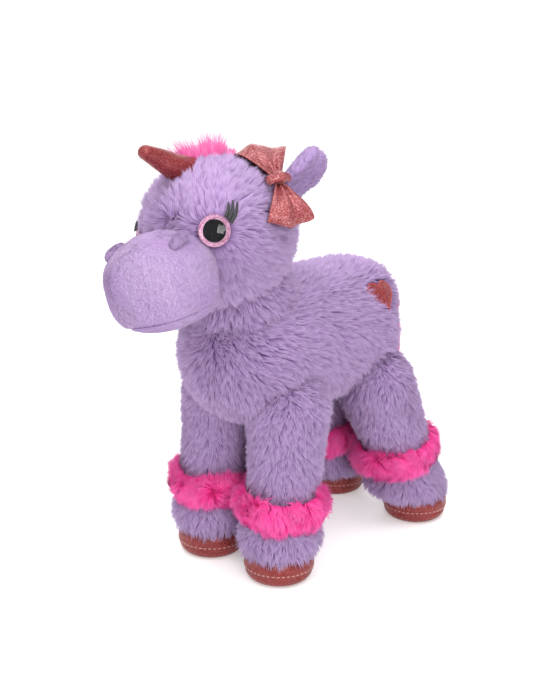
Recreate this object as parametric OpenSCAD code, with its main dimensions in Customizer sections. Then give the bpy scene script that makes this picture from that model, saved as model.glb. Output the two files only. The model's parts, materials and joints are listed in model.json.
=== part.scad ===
// Plush unicorn, standing on four stuffed legs with its head tilted to one side.
// +Z is up, the muzzle points along -Y and the animal's left is +X.
// The origin is on the ground, under the middle of the whole toy.

/* [Body] */
// Radius of the stuffed body
body_r = 51; // [48:0.5:53]
// Height of the body's middle line above the ground
body_z = 159; // [156:0.5:162]
// Distance from the middle of the hooves forward to the middle of the chest
chest_ahead = 68; // [65:0.5:71]
// Distance from the middle of the hooves back to the middle of the rump
rump_behind = 26; // [22:0.5:28]
// Thickness of the plush fabric, backing and pile together
fabric_t = 3; // [2:0.25:4]

/* [Legs] */
// Half the distance between the front hooves
front_half_track = 33.5; // [33:0.25:36]
// Half the distance between the hind hooves
hind_half_track = 41; // [39:0.5:44]
// Half the distance between front and hind hooves
half_wheelbase = 76; // [72:0.5:80]
// Radius of the ball at the top of a leg
hip_r = 30; // [27:0.5:31]
// Radius of a leg at the ankle
ankle_r = 24; // [22:0.5:25]
// Radius of a hoof
hoof_r = 24.5; // [22:0.5:25]
// Height of a hoof
hoof_h = 22; // [19:0.5:24]
// Outer radius of the long-pile band round a leg
band_r = 32.5; // [30:0.5:32.5]
// Height of the long-pile band
band_h = 27; // [22:0.5:30]
// How far a leg swings each way
leg_swing = 10; // [5:1:12]

/* [Head] */
// Radius of the head
head_r = 52; // [50:0.5:53]
// Sideways tilt of the head, crown towards the animal's right
head_tilt = 15; // [12:1:17]
// Turn of the head towards the animal's left
head_turn = 5; // [2:1:8]
// Radius of the muzzle seen from above
muzzle_r = 36; // [34:0.5:37]
// Half the height of the muzzle
muzzle_half_h = 31; // [29:0.5:32]
// Diameter of a glitter eye
eye_d = 20.5; // [18:0.5:22]
// Length of the horn from its root to the middle of its rounded tip
horn_len = 34; // [28:1:38]
// Radius of the horn at its root
horn_r = 10.5; // [9:0.25:11]
// Length of an ear
ear_len = 35; // [30:1:37]

/* [Tail] */
// Length of the tail from its root to its end
tail_len = 76; // [65:1:80]
// Radius of the tail's pile
tail_r = 12; // [9:0.5:12]

/* [Hidden] */
$fn = 64;

// Clearance between bodies that move, and between pieces sewn together
move_gap = 0.5;
seam_gap = 0.2;
spare_swing = 2;
big = 400;

// The ground point under the middle of the toy, seen from the middle of the hooves
stand_shift = [6, 44.3, 0];

// Body: two balls and a tube along Y
chest = [0, -chest_ahead, body_z];
body_len = chest_ahead + rump_behind;
gusset_half_w = 20;
side_split = 0.1;

// Left legs; the right ones mirror them
hip_z = 122;
front_hip_in = 1;
front_hip_back = 11;
hind_hip_in = 6;
hind_hip_ahead = 46;
ankle_z = 22;
leg_steps = 9;
sole_t = 3;
sole_step = 1.5;
seam_allowance = 2;
hoof_wall = 1.6;
hoof_waist = 9;
hoof_squash = 0.9;
front_band_z = 52;
hind_band_z = 58;
hind_band_tilt = 14;
hip_left_front = [front_half_track - front_hip_in, front_hip_back - half_wheelbase, hip_z];
hip_left_hind = [hind_half_track - hind_hip_in, half_wheelbase - hind_hip_ahead, hip_z - 4];
foot_left_front = [front_half_track, -half_wheelbase, 0];
foot_left_hind = [hind_half_track, half_wheelbase, 0];

// Neck and head
neck = [0, -80, 196];
neck_r = 28;
head_c = [-7, -92.5, 243];
head_room = 9;
head_gusset_half_w = 13;
muzzle_c = [0, -61.5, -21];
muzzle_panel_t = 2;
muzzle_steps = 18;
mouth_drop = 23;
thread_r = 0.7;
thread_out = 1.6;
horn_root = [0, -21, 42.5];
horn_lean = 63;
horn_tip_r = 4.6;
horn_wall = 1.2;
horn_clear = 3;
forelock_c = [0, 5, 50];
forelock_r = 18;
tab_side = 27;
tab_fwd = 7;
tab_slope = 118;
tab_splay = 14;
tab_out = 1.14;
tab_r = 3;
tab_len = 14;

// Eyes: directions from the head's middle
eye_az = 39.6;
eye_el = 4;
iris_t = 0.9;
pupil_t = 0.5;
pupil_r = 7.2;
lens_h = 4.6;
post_r = 2.5;
post_len = 15;
washer_r = 8;
washer_t = 2;
washer_sink = 1;
lash_count = 3;
lash_first = 35;
lash_step = 12;
lash_lean = -22;
lash_len = 10;
lash_lift = 1.5;
lash_gap = 1;

// Ears and bow: directions from the head's middle
ear_root_dir = [0.73, 0.57, 0.36];
ear_dir = [0.50, 0.68, 0.54];
ear_spin = 55;
ear_base_r = 3.6;
ear_lift = 2.3;
ear_half_w = 14.5;
ear_root_half_w = 9;
ear_shoulder = 12;
ear_half_t = 3.6;
lining_t = 2.6;
lining_inset = 2;
bow_dir = [0.827, 0.266, 0.495];
bow_spin = -32;
bow_lift = 1.2;
bow_t = 8;
bow_half_len = 29;
bow_end_half_w = 14;
bow_waist_half_w = 5;
bow_bulge = 7;
loop_steps = 8;
knot_size = [13, 12, 11];

// Tail
tail_pivot = [0, 82, 176];
tail_ball_r = 7;
tail_slope = 6;
tail_core_r = 3;
tail_core_len = 50;
tail_root_r = 4.5;
tail_flare = 24;
tail_clear = 1.5;

// Heart patches: directions from the middle of the rump, as azimuth from +Y and height.
// They are sewn on by eye, and the right one sits nearer the spine.
heart_left_az = 88;
heart_left_el = 38;
heart_right_az = 58;
heart_right_el = 52;
heart_size = 11;
heart_t = 1.2;
heart_steps = 36;

purple = "mediumpurple";
hot_pink = "deeppink";
glitter_red = "indianred";
filling = "ivory";

function unit(v) = v / norm(v);
// Turns that take +Z to the direction v
function turn_to(v) = [0, acos(v[2] / norm(v)), atan2(v[1], v[0])];
function outward(az, el) = [sin(az) * cos(el), -cos(az) * cos(el), sin(el)];

// ---- placing -------------------------------------------------------------

// Sets the whole toy over its ground point
module on_stand() { translate(stand_shift) children(); }

// The head's own upright frame: origin in its middle, -Y to the muzzle
module at_head() {
    on_stand() translate(head_c) rotate([0, 0, head_turn]) rotate([0, -head_tilt, 0]) children();
}

// A frame at distance r from the head's middle in direction v, +Z outward
module on_head(v, r, spin = 0) {
    at_head() translate(unit(v) * r) rotate(turn_to(v)) rotate([0, 0, spin]) children();
}

// ---- body ----------------------------------------------------------------

// Body shape, inset all round: a capsule along Y
module body_shape(inset) {
    translate(chest) rotate([-90, 0, 0]) {
        cylinder(r = body_r - inset, h = body_len);
        sphere(r = body_r - inset);
        translate([0, 0, body_len]) sphere(r = body_r - inset);
    }
}

// Room that a leg needs in the body: its ball, and a wedge for the swing whose sides touch the ball
module leg_room(hip, foot) {
    lean = abs(atan2(foot[1] - hip[1], hip[2] - foot[2]));
    w = hip_r + move_gap;
    turn = lean + leg_swing + spare_swing;
    foot_w = (w + hip[2] * sin(turn)) / cos(turn);
    translate(hip) {
        sphere(r = w);
        rotate([90, 0, 90]) linear_extrude(2 * w, center = true)
            polygon([[-w * cos(turn), w * sin(turn)], [w * cos(turn), w * sin(turn)],
                [foot_w, -hip[2]], [-foot_w, -hip[2]]]);
    }
}

module body_rooms() {
    for (side = [0, 1]) mirror([side, 0, 0]) {
        leg_room(hip_left_front, foot_left_front);
        leg_room(hip_left_hind, foot_left_hind);
    }
    translate(neck) sphere(r = neck_r + move_gap);
    translate(head_c) sphere(r = head_r + head_room);
    translate(tail_pivot) sphere(r = tail_ball_r + move_gap);
}

module body_cover() {
    difference() {
        body_shape(0);
        body_shape(fabric_t);
        body_rooms();
    }
}

// Space taken by the belly strip, with a margin
module gusset_space(margin) {
    w = gusset_half_w + margin;
    translate([-w, -big / 2, body_z - big - margin]) cube([2 * w, big, big + 2 * margin]);
}

module torso_panel(side) {
    color(purple) on_stand() intersection() {
        difference() { body_cover(); gusset_space(seam_gap); }
        translate([side > 0 ? side_split : -big - side_split, -big / 2, 0]) cube([big, big, big]);
    }
}
module torso_left_panel() { torso_panel(1); }
module torso_right_panel() { torso_panel(-1); }

module belly_gusset() {
    color(purple) on_stand() intersection() { body_cover(); gusset_space(0); }
}

module torso_stuffing() {
    color(filling) on_stand() difference() { body_shape(fabric_t + seam_gap); body_rooms(); }
}

// Heart outline: x = 16 sin^3 a, y = 13 cos a - 5 cos 2a - 2 cos 3a - cos 4a, set to half-width s
module heart_outline(s) {
    polygon([for (i = [0:heart_steps - 1]) let (a = 360 * i / heart_steps)
        s / 16 * [16 * pow(sin(a), 3), 13 * cos(a) - 5 * cos(2 * a) - 2 * cos(3 * a) - cos(4 * a)]]);
}

module heart_patch(az, el) {
    v = [sin(az) * cos(el), cos(az) * cos(el), sin(el)];
    color(glitter_red) on_stand() translate(chest + [0, body_len, 0] + v * (body_r + seam_gap))
        rotate(turn_to(v)) rotate([0, 0, 90]) linear_extrude(heart_t) heart_outline(heart_size);
}
module heart_patch_left() { heart_patch(heart_left_az, heart_left_el); }
module heart_patch_right() { heart_patch(-heart_right_az, heart_right_el); }

// ---- neck and head -------------------------------------------------------

module neck_stuffing() {
    color(filling) on_stand() translate(neck) sphere(r = neck_r);
}

// The round hollow that turns and nods on the neck, in the head's frame
module neck_room() {
    rotate([0, head_tilt, 0]) rotate([0, 0, -head_turn]) translate(neck - head_c) sphere(r = neck_r + move_gap);
}

module horn_axis() { translate(horn_root) rotate([horn_lean, 0, 0]) children(); }

// The horn's pocket in the head; the ball's pole points straight out of the head
module horn_room() {
    translate(horn_root) rotate(turn_to(horn_root)) sphere(r = horn_r + move_gap);
    horn_axis() cylinder(r = horn_r + move_gap, h = horn_len);
}

module muzzle_shape(inset) {
    translate(muzzle_c) rotate_extrude()
        polygon([for (i = [0:muzzle_steps]) let (a = -90 + 180 * i / muzzle_steps)
            [(muzzle_r - inset) * cos(a), (muzzle_half_h - inset) * sin(a)]]);
}

module at_eye(side, r) {
    v = outward(side * eye_az, eye_el);
    translate(v * r) rotate(turn_to(v)) children();
}

module eye_rooms(r) {
    for (side = [-1, 1]) at_eye(side, 0) translate([0, 0, head_r - post_len - seam_gap])
        cylinder(r = r, h = post_len + 1);
}

module washer_rooms() {
    for (side = [-1, 1]) at_eye(side, head_r - fabric_t - washer_t - washer_sink - seam_gap)
        cylinder(r = washer_r + seam_gap, h = washer_t + washer_sink + 2 * seam_gap);
}

// Shell of the head. The turn sets where the ball's poles are: at the front and the back for
// the side panels, and up and down for the strip over the crown
module head_cover(turn) {
    difference() {
        rotate(turn) sphere(r = head_r);
        rotate(turn) sphere(r = head_r - fabric_t);
        muzzle_shape(-seam_gap);
        neck_room();
        horn_room();
        eye_rooms(post_r + seam_gap);
    }
}

// Space of the strip over the crown, from the muzzle to the nape
module crown_space(margin) {
    w = head_gusset_half_w + margin;
    translate([-w, -big / 2, -margin]) cube([2 * w, big, big]);
}

module head_panel(side) {
    color(purple) at_head() intersection() {
        difference() { head_cover([90, 0, 0]); crown_space(seam_gap); }
        translate([side > 0 ? side_split : -big - side_split, -big / 2, -big / 2]) cube([big, big, big]);
    }
}
module head_left_panel() { head_panel(1); }
module head_right_panel() { head_panel(-1); }
module head_gusset() {
    color(purple) at_head() intersection() { head_cover([0, 0, 90]); crown_space(0); }
}

// One filling runs through the head into the muzzle
module head_stuffing() {
    color(filling) at_head() difference() {
        union() {
            rotate([90, 0, 0]) sphere(r = head_r - fabric_t - seam_gap);
            muzzle_shape(muzzle_panel_t + seam_gap);
        }
        neck_room();
        horn_room();
        eye_rooms(post_r + seam_gap);
        washer_rooms();
    }
}

// ---- muzzle --------------------------------------------------------------

module muzzle_skin() {
    difference() {
        muzzle_shape(0);
        muzzle_shape(muzzle_panel_t);
        sphere(r = head_r - fabric_t);
    }
}

// Everything above the mouth line, or below it
module above_mouth(margin) {
    translate([-big / 2, -big, muzzle_c[2] - mouth_drop + margin]) cube([big, big, big]);
}
module below_mouth(margin) {
    translate([-big / 2, -big, muzzle_c[2] - mouth_drop - big - margin]) cube([big, big, big]);
}

module muzzle_cover() {
    color("plum") at_head() intersection() { muzzle_skin(); above_mouth(seam_gap); }
}
module chin_panel() {
    color("plum") at_head() intersection() { muzzle_skin(); below_mouth(seam_gap); }
}

// Thread laid along the mouth line round the front of the muzzle
module mouth_stitching() {
    r = muzzle_r * sqrt(1 - pow(mouth_drop / muzzle_half_h, 2)) + thread_out;
    color("rebeccapurple") at_head() translate([0, muzzle_c[1], muzzle_c[2] - mouth_drop])
        rotate([0, 0, -165]) rotate_extrude(angle = 150) translate([r, 0]) circle(r = thread_r, $fn = 16);
}

// Two small folded tabs high on the muzzle
module nostril_tabs() {
    lift = muzzle_half_h * sqrt(1 - pow(tab_side / muzzle_r, 2) - pow(tab_fwd / muzzle_r, 2));
    color("plum") for (side = [-1, 1]) at_head()
        translate(muzzle_c + [side * tab_side, -tab_fwd, lift] * tab_out) rotate([tab_slope, 0, side * tab_splay])
            cylinder(r = tab_r, h = tab_len, center = true, $fn = 24);
}

// ---- horn and forelock ---------------------------------------------------

module horn_shape(inset) {
    sphere(r = horn_r - inset);
    cylinder(r1 = horn_r - inset, r2 = horn_tip_r - inset, h = horn_len);
    translate([0, 0, horn_len]) sphere(r = horn_tip_r - inset);
}
module horn_cover() {
    color(glitter_red) at_head() horn_axis() difference() { horn_shape(0); horn_shape(horn_wall); }
}
module horn_stuffing() { color(filling) at_head() horn_axis() horn_shape(horn_wall + seam_gap); }

module forelock() {
    color(hot_pink) at_head() difference() {
        translate(forelock_c) sphere(r = forelock_r);
        sphere(r = head_r + seam_gap);
        horn_axis() cylinder(r = horn_r + horn_clear, h = 2 * horn_len);
    }
}

// ---- eyes ----------------------------------------------------------------

// Glitter disc, black pupil and clear dome sit one on the other outside the fabric
module eye_iris(side) {
    color("pink") at_head() at_eye(side, head_r + seam_gap) cylinder(r = eye_d / 2, h = iris_t);
}
module eye_pupil(side) {
    color("black") at_head() at_eye(side, head_r + seam_gap + iris_t) cylinder(r = pupil_r, h = pupil_t);
}
module eye_lens(side) {
    rise = head_r + seam_gap + iris_t + pupil_t;
    dome_r = (pow(eye_d / 2, 2) + pow(lens_h, 2)) / (2 * lens_h);
    color("white") at_head() at_eye(side, rise) intersection() {
        translate([0, 0, lens_h - dome_r]) sphere(r = dome_r);
        cylinder(r = eye_d, h = 2 * lens_h);
    }
}
module eye_lens_left() { eye_lens(1); }
module eye_lens_right() { eye_lens(-1); }
module eye_iris_left() { eye_iris(1); }
module eye_iris_right() { eye_iris(-1); }
module eye_pupil_left() { eye_pupil(1); }
module eye_pupil_right() { eye_pupil(-1); }

module eye_posts() {
    color("white") for (side = [-1, 1]) at_head() at_eye(side, head_r - post_len)
        cylinder(r = post_r, h = post_len + seam_gap);
}
module eye_washers() {
    color("white") for (side = [-1, 1]) at_head() at_eye(side, head_r - fabric_t - washer_t - washer_sink)
        difference() {
            cylinder(r = washer_r, h = washer_t);
            translate([0, 0, -1]) cylinder(r = post_r + seam_gap / 4, h = washer_t + 2);
        }
}

// Three short threads that fan up and back from the eye's upper rear corner
module eyelashes(side) {
    color("black") at_head() mirror([side > 0 ? 0 : 1, 0, 0]) at_eye(1, head_r + lash_lift)
        for (i = [0:lash_count - 1]) rotate([0, 0, -(lash_first + lash_step * i)])
            translate([-eye_d / 2 - lash_gap, 0, 0]) rotate([0, -90, 0]) rotate([lash_lean, 0, 0])
                cylinder(r = thread_r, h = lash_len, $fn = 16);
}
module eyelashes_left() { eyelashes(1); }
module eyelashes_right() { eyelashes(-1); }

// ---- ears and bow --------------------------------------------------------

// Ear outline from its root line upwards: a round leaf on a narrower root
module ear_outline(inset) {
    r = ear_half_w - inset;
    translate([0, ear_len - ear_half_w]) circle(r = r);
    root = ear_root_half_w - inset;
    shoulder = r * cos(ear_shoulder);
    rise = ear_len - ear_half_w - r * sin(ear_shoulder);
    polygon([[-root, 0], [root, 0], [shoulder, rise], [-shoulder, rise]]);
}

// The ear's frame: origin on its root line, X along that line, Z along the ear, -Y to the lining
module at_ear(side) {
    root = unit(ear_root_dir) * (head_r + ear_base_r + ear_lift);
    at_head() mirror([side > 0 ? 0 : 1, 0, 0]) translate(root)
        rotate(turn_to(ear_dir)) rotate([0, 0, ear_spin]) children();
}

module ear_outer(side) {
    color(purple) at_ear(side) {
        rotate([0, 90, 0]) cylinder(r = ear_base_r, h = 2 * ear_root_half_w, center = true, $fn = 32);
        rotate([90, 0, 0]) translate([0, 0, -ear_half_t]) linear_extrude(ear_half_t) ear_outline(0);
    }
}
module ear_lining(side) {
    color("plum") at_ear(side) rotate([90, 0, 0]) translate([0, 0, seam_gap]) difference() {
        linear_extrude(lining_t) ear_outline(lining_inset);
        translate([-big / 2, -big + ear_base_r + seam_gap, -1]) cube([big, big, big]);
    }
}
module ear_left_outer() { ear_outer(1); }
module ear_right_outer() { ear_outer(-1); }
module ear_left_lining() { ear_lining(1); }
module ear_right_lining() { ear_lining(-1); }

// One loop of the bow, flat: it widens from the waist to a bulging end
module loop_outline(side) {
    straight = bow_half_len - bow_bulge;
    polygon([[0, -side * bow_waist_half_w], for (i = [-loop_steps:loop_steps]) let (a = 90 * i / loop_steps)
        [side * (straight + bow_bulge * cos(a)), side * bow_end_half_w * sin(a)],
        [0, side * bow_waist_half_w]]);
}
module bow_loops() {
    color(glitter_red) on_head(bow_dir, head_r + bow_lift, bow_spin) difference() {
        for (side = [-1, 1]) linear_extrude(bow_t) loop_outline(side);
        translate([0, 0, bow_t / 2]) cube([knot_size[0] + seam_gap, big, knot_size[2] + 1], center = true);
    }
}
module bow_knot() {
    color(glitter_red) on_head(bow_dir, head_r + bow_lift, bow_spin)
        translate([-knot_size[0] / 2, -knot_size[1] / 2, 0]) cube(knot_size);
}

// ---- tail ----------------------------------------------------------------

module at_tail() { on_stand() translate(tail_pivot) rotate([180 + tail_slope, 0, 0]) children(); }

module tail_root() { color(hot_pink) at_tail() sphere(r = tail_ball_r); }
// The tail's own frame below its ball: +Z down the tail
module below_ball() { at_tail() translate([0, 0, tail_ball_r + move_gap]) children(); }

module tail_core() { color(filling) below_ball() cylinder(r = tail_core_r, h = tail_core_len); }
module tail_pile() {
    straight = tail_len - tail_ball_r - move_gap - tail_r;
    color(hot_pink) difference() {
        below_ball() {
            cylinder(r1 = tail_root_r, r2 = tail_r, h = tail_flare);
            translate([0, 0, tail_flare]) cylinder(r = tail_r, h = straight - tail_flare);
            translate([0, 0, straight]) sphere(r = tail_r);
        }
        below_ball() translate([0, 0, -1]) cylinder(r = tail_core_r + seam_gap, h = tail_core_len + 1 + seam_gap);
        on_stand() translate(chest + [0, body_len, 0]) sphere(r = body_r + tail_clear);
    }
}

// ---- legs ----------------------------------------------------------------

// The leg's column, inset all round: a round top at the hip, straight sides and a round ankle
module leg_shape(hip, foot, inset) {
    run = foot + [0, 0, ankle_z] - hip;
    slope = asin((hip_r - ankle_r) / norm(run));
    function arc(r, z, from, to) = [for (i = [0:leg_steps]) let (a = from + (to - from) * i / leg_steps)
        [r * cos(a), z + r * sin(a)]];
    translate(hip) rotate(turn_to(run)) rotate_extrude()
        polygon(concat(arc(hip_r - inset, 0, -90, slope), arc(ankle_r - inset, norm(run), slope, 90)));
}

// Everything above the given height
module above(z) { translate([-big / 2, -big / 2, z]) cube([big, big, big]); }

module leg_cover(hip, foot) {
    color(purple) difference() {
        intersection() { leg_shape(hip, foot, 0); above(hoof_h + seam_gap); }
        leg_shape(hip, foot, fabric_t);
    }
}
module leg_stuffing(hip, foot) {
    color(filling) intersection() {
        leg_shape(hip, foot, fabric_t + seam_gap);
        above(sole_t + seam_allowance);
    }
}

// Long-pile ring round the leg, its rim rounded
module fur_band(hip, foot, z, tilt) {
    ankle = foot + [0, 0, ankle_z];
    centre = ankle + (hip - ankle) * (z - ankle_z) / (hip[2] - ankle_z);
    edge = band_h / 2;
    color(hot_pink) difference() {
        translate(centre) rotate([tilt, 0, 0]) rotate_extrude() {
            translate([band_r - edge, 0]) circle(r = edge);
            translate([0, -edge]) square([band_r - edge, band_h]);
        }
        leg_shape(hip, foot, -seam_gap);
    }
}

// Rounded toe cap over the lower leg, open underneath and on top
module hoof_upper(hip, foot) {
    color(glitter_red) difference() {
        translate(foot) hoof_round(hoof_r, sole_t + seam_gap, hoof_h);
        translate(foot) hoof_round(hoof_r - hoof_wall, 0, hoof_h + 1);
        leg_shape(hip, foot, fabric_t);
    }
}
module hoof_round(r, from, to) {
    intersection() {
        translate([0, 0, hoof_waist]) scale([1, 1, hoof_squash]) sphere(r = r);
        translate([0, 0, from]) cylinder(r = r + 1, h = to - from);
    }
}
module hoof_sole(foot) {
    color("brown") translate(foot) cylinder(r1 = hoof_r - 2 * sole_step, r2 = hoof_r - sole_step, h = sole_t);
}

// Sets a leg piece, made on the left, on the left or the right side
module on_side(side) { on_stand() mirror([side > 0 ? 0 : 1, 0, 0]) children(); }

module front_leg_cover(side) { on_side(side) leg_cover(hip_left_front, foot_left_front); }
module front_leg_stuffing(side) { on_side(side) leg_stuffing(hip_left_front, foot_left_front); }
module front_fur_band(side) { on_side(side) fur_band(hip_left_front, foot_left_front, front_band_z, 0); }
module front_hoof_upper(side) { on_side(side) hoof_upper(hip_left_front, foot_left_front); }
module front_hoof_sole(side) { on_side(side) hoof_sole(foot_left_front); }

module hind_leg_cover(side) { on_side(side) leg_cover(hip_left_hind, foot_left_hind); }
module hind_leg_stuffing(side) { on_side(side) leg_stuffing(hip_left_hind, foot_left_hind); }
module hind_fur_band(side) { on_side(side) fur_band(hip_left_hind, foot_left_hind, hind_band_z, hind_band_tilt); }
module hind_hoof_upper(side) { on_side(side) hoof_upper(hip_left_hind, foot_left_hind); }
module hind_hoof_sole(side) { on_side(side) hoof_sole(foot_left_hind); }

// ---- the toy -------------------------------------------------------------

torso_left_panel();
torso_right_panel();
belly_gusset();
torso_stuffing();
heart_patch_left();
heart_patch_right();
neck_stuffing();
head_left_panel();
head_right_panel();
head_gusset();
head_stuffing();
muzzle_cover();
chin_panel();
mouth_stitching();
nostril_tabs();
forelock();
eye_lens_left();
eye_lens_right();
eye_iris_left();
eye_iris_right();
eye_pupil_left();
eye_pupil_right();
eye_posts();
eye_washers();
eyelashes_left();
eyelashes_right();
horn_cover();
horn_stuffing();
ear_left_outer();
ear_left_lining();
ear_right_outer();
ear_right_lining();
bow_loops();
bow_knot();
tail_root();
tail_core();
tail_pile();
front_leg_cover(1);  // front_left_leg_cover
front_leg_stuffing(1);  // front_left_leg_stuffing
front_fur_band(1);  // front_left_fur_band
front_hoof_upper(1);  // front_left_hoof_upper
front_hoof_sole(1);  // front_left_hoof_sole
front_leg_cover(-1);  // front_right_leg_cover
front_leg_stuffing(-1);  // front_right_leg_stuffing
front_fur_band(-1);  // front_right_fur_band
front_hoof_upper(-1);  // front_right_hoof_upper
front_hoof_sole(-1);  // front_right_hoof_sole
hind_leg_cover(1);  // hind_left_leg_cover
hind_leg_stuffing(1);  // hind_left_leg_stuffing
hind_fur_band(1);  // hind_left_fur_band
hind_hoof_upper(1);  // hind_left_hoof_upper
hind_hoof_sole(1);  // hind_left_hoof_sole
hind_leg_cover(-1);  // hind_right_leg_cover
hind_leg_stuffing(-1);  // hind_right_leg_stuffing
hind_fur_band(-1);  // hind_right_fur_band
hind_hoof_upper(-1);  // hind_right_hoof_upper
hind_hoof_sole(-1);  // hind_right_hoof_sole
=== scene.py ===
"""Looks of the stuffed unicorn: skins, pile, eyes, horn, bow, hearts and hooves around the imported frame."""
import json
import math

import bpy
import numpy as np
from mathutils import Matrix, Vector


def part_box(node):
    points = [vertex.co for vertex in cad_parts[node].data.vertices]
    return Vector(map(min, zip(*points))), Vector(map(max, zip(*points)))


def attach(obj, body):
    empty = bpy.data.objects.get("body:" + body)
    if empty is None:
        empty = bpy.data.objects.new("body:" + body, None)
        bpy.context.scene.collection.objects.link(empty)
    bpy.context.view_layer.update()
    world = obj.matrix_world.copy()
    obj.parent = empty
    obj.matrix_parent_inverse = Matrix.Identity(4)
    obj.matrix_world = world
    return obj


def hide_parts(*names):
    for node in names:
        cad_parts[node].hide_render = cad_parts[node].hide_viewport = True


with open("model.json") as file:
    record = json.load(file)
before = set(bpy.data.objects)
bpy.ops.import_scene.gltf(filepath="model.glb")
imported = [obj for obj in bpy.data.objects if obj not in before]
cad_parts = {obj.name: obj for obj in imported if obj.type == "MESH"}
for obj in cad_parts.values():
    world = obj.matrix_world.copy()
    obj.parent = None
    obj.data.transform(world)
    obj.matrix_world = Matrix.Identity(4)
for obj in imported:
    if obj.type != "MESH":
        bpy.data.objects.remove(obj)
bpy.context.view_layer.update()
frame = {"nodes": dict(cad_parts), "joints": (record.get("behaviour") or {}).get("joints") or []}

MM = 0.001
JOINTS = {j["name"]: j for j in frame["joints"]}


# ---- small geometry ------------------------------------------------------

def unit(v):
    """Vectors scaled to length one."""
    v = np.asarray(v, float)
    return v / np.maximum(np.linalg.norm(v, axis=-1, keepdims=True), 1e-12)


def box(node):
    """Lowest and highest corner of a CAD node, as arrays."""
    low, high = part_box(node)
    return np.array(low), np.array(high)


def middle(node):
    low, high = box(node)
    return (low + high) / 2


def joint_at(name):
    return np.array(JOINTS[name]["pos_m"])


def joint_axis(name):
    return unit(JOINTS[name]["axis"])


def turn_z(degrees):
    a = math.radians(degrees)
    return np.array([[math.cos(a), -math.sin(a), 0], [math.sin(a), math.cos(a), 0], [0, 0, 1]])


def frame_along(axis, side):
    """Columns X, Y, Z of a frame whose Z is axis and whose X is the part of side square to it."""
    z = unit(axis)
    x = unit(side - z * np.dot(side, z))
    return np.stack([x, np.cross(z, x), z], axis=1)


def soft_noise(p, size, seed):
    """Smooth noise from -1 to 1: the mean of eight sine waves in seeded directions, size metres to a wave."""
    rng = np.random.default_rng(seed)
    way = unit(rng.normal(size=(8, 3))) * rng.uniform(0.7, 1.5, (8, 1)) * 2 * math.pi / size
    return np.sin(p @ way.T + rng.uniform(0, 2 * math.pi, 8)).mean(axis=-1) * 2.2


# ---- meshes --------------------------------------------------------------

def make_mesh(name, points, faces, body, material, normals=None, uv=None):
    """A mesh object from arrays of points and of faces with one count of corners, riding on a body."""
    mesh = bpy.data.meshes.new(name)
    corners = faces.shape[1]
    mesh.vertices.add(len(points))
    mesh.vertices.foreach_set("co", points.astype(np.float32).ravel())
    mesh.loops.add(faces.size)
    mesh.loops.foreach_set("vertex_index", faces.astype(np.int32).ravel())
    mesh.polygons.add(len(faces))
    mesh.polygons.foreach_set("loop_start", np.arange(0, faces.size, corners, dtype=np.int32))
    mesh.polygons.foreach_set("use_smooth", np.full(len(faces), True))
    mesh.materials.append(material)
    mesh.update(calc_edges=True)
    if uv is not None:
        layer = mesh.uv_layers.new(name="OFBake")
        layer.uv.foreach_set("vector", uv[faces.ravel()].astype(np.float32).ravel())
    if normals is not None:
        mesh.normals_split_custom_set_from_vertices(normals.astype(np.float32))
    piece = bpy.data.objects.new(name, mesh)
    bpy.context.scene.collection.objects.link(piece)
    if body:
        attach(piece, body)
    return piece


def closed_faces(rings, around):
    """Triangles of a tube of rings, closed by a point at each end; the two end points come last."""
    i, j = np.meshgrid(np.arange(rings - 1), np.arange(around), indexing="ij")
    a, b = i * around + j, i * around + (j + 1) % around
    c, d = a + around, b + around
    sides = np.stack([np.stack([a, b, d], -1), np.stack([a, d, c], -1)], 2).reshape(-1, 3)
    k = np.arange(around)
    first, last, tail = rings * around, rings * around + 1, (rings - 1) * around
    low = np.stack([np.full(around, first), (k + 1) % around, k], -1)
    high = np.stack([np.full(around, last), tail + k, tail + (k + 1) % around], -1)
    return np.concatenate([sides, low, high])


def closed_piece(name, grid, body, material):
    """A closed tube: grid[i, j] is ring i, place j round it. The volume's sign turns its faces outward."""
    rings, around = grid.shape[:2]
    points = np.concatenate([grid.reshape(-1, 3), grid[:1].mean(axis=1), grid[-1:].mean(axis=1)])
    faces = closed_faces(rings, around)
    a, b, c = (points[faces[:, k]] for k in range(3))
    mid = points.mean(axis=0)
    if np.einsum("ij,ij->i", a - mid, np.cross(b, c) - np.cross(mid, c - b)).sum() < 0:
        faces = faces[:, ::-1]
    return make_mesh(name, points, faces, body, material)


def padded_piece(name, grid, body, material, fill, *nodes):
    """A closed piece which stands in for CAD nodes and hides them; fill, the share it would be filled to, is
    not used.
    """
    piece = closed_piece(name, grid, body, material)
    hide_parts(*nodes)


def revolve(profile, origin, axes, around=96):
    """Points r, z of a profile carried round the Z of a frame: x = r cos a, y = r sin a."""
    a = np.linspace(0, 2 * math.pi, around, endpoint=False)
    r, z = np.asarray(profile, float).T
    local = np.stack([np.outer(r, np.cos(a)), np.outer(r, np.sin(a)), np.outer(z, np.ones(around))], -1)
    return origin + local @ axes.T


def capsule_profile(r_low, r_high, length, steps=14, straight=30):
    """Half outline of a tapered capsule: a round end, straight sides, a round end."""
    lean = math.asin((r_low - r_high) / length)
    low = np.linspace(-math.pi / 2 + 0.02, lean, steps)
    high = np.linspace(lean, math.pi / 2 - 0.02, steps)
    first = np.stack([r_low * np.cos(low), r_low * np.sin(low)], -1)
    last = np.stack([r_high * np.cos(high), length + r_high * np.sin(high)], -1)
    t = np.linspace(0, 1, straight)[1:-1, None]
    return np.concatenate([first, first[-1] * (1 - t) + last[0] * t, last])


def ball_profile(radius, steps=64):
    a = np.linspace(-math.pi / 2 + 0.02, math.pi / 2 - 0.02, steps)
    return np.stack([radius * np.cos(a), radius * np.sin(a)], -1)


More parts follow.
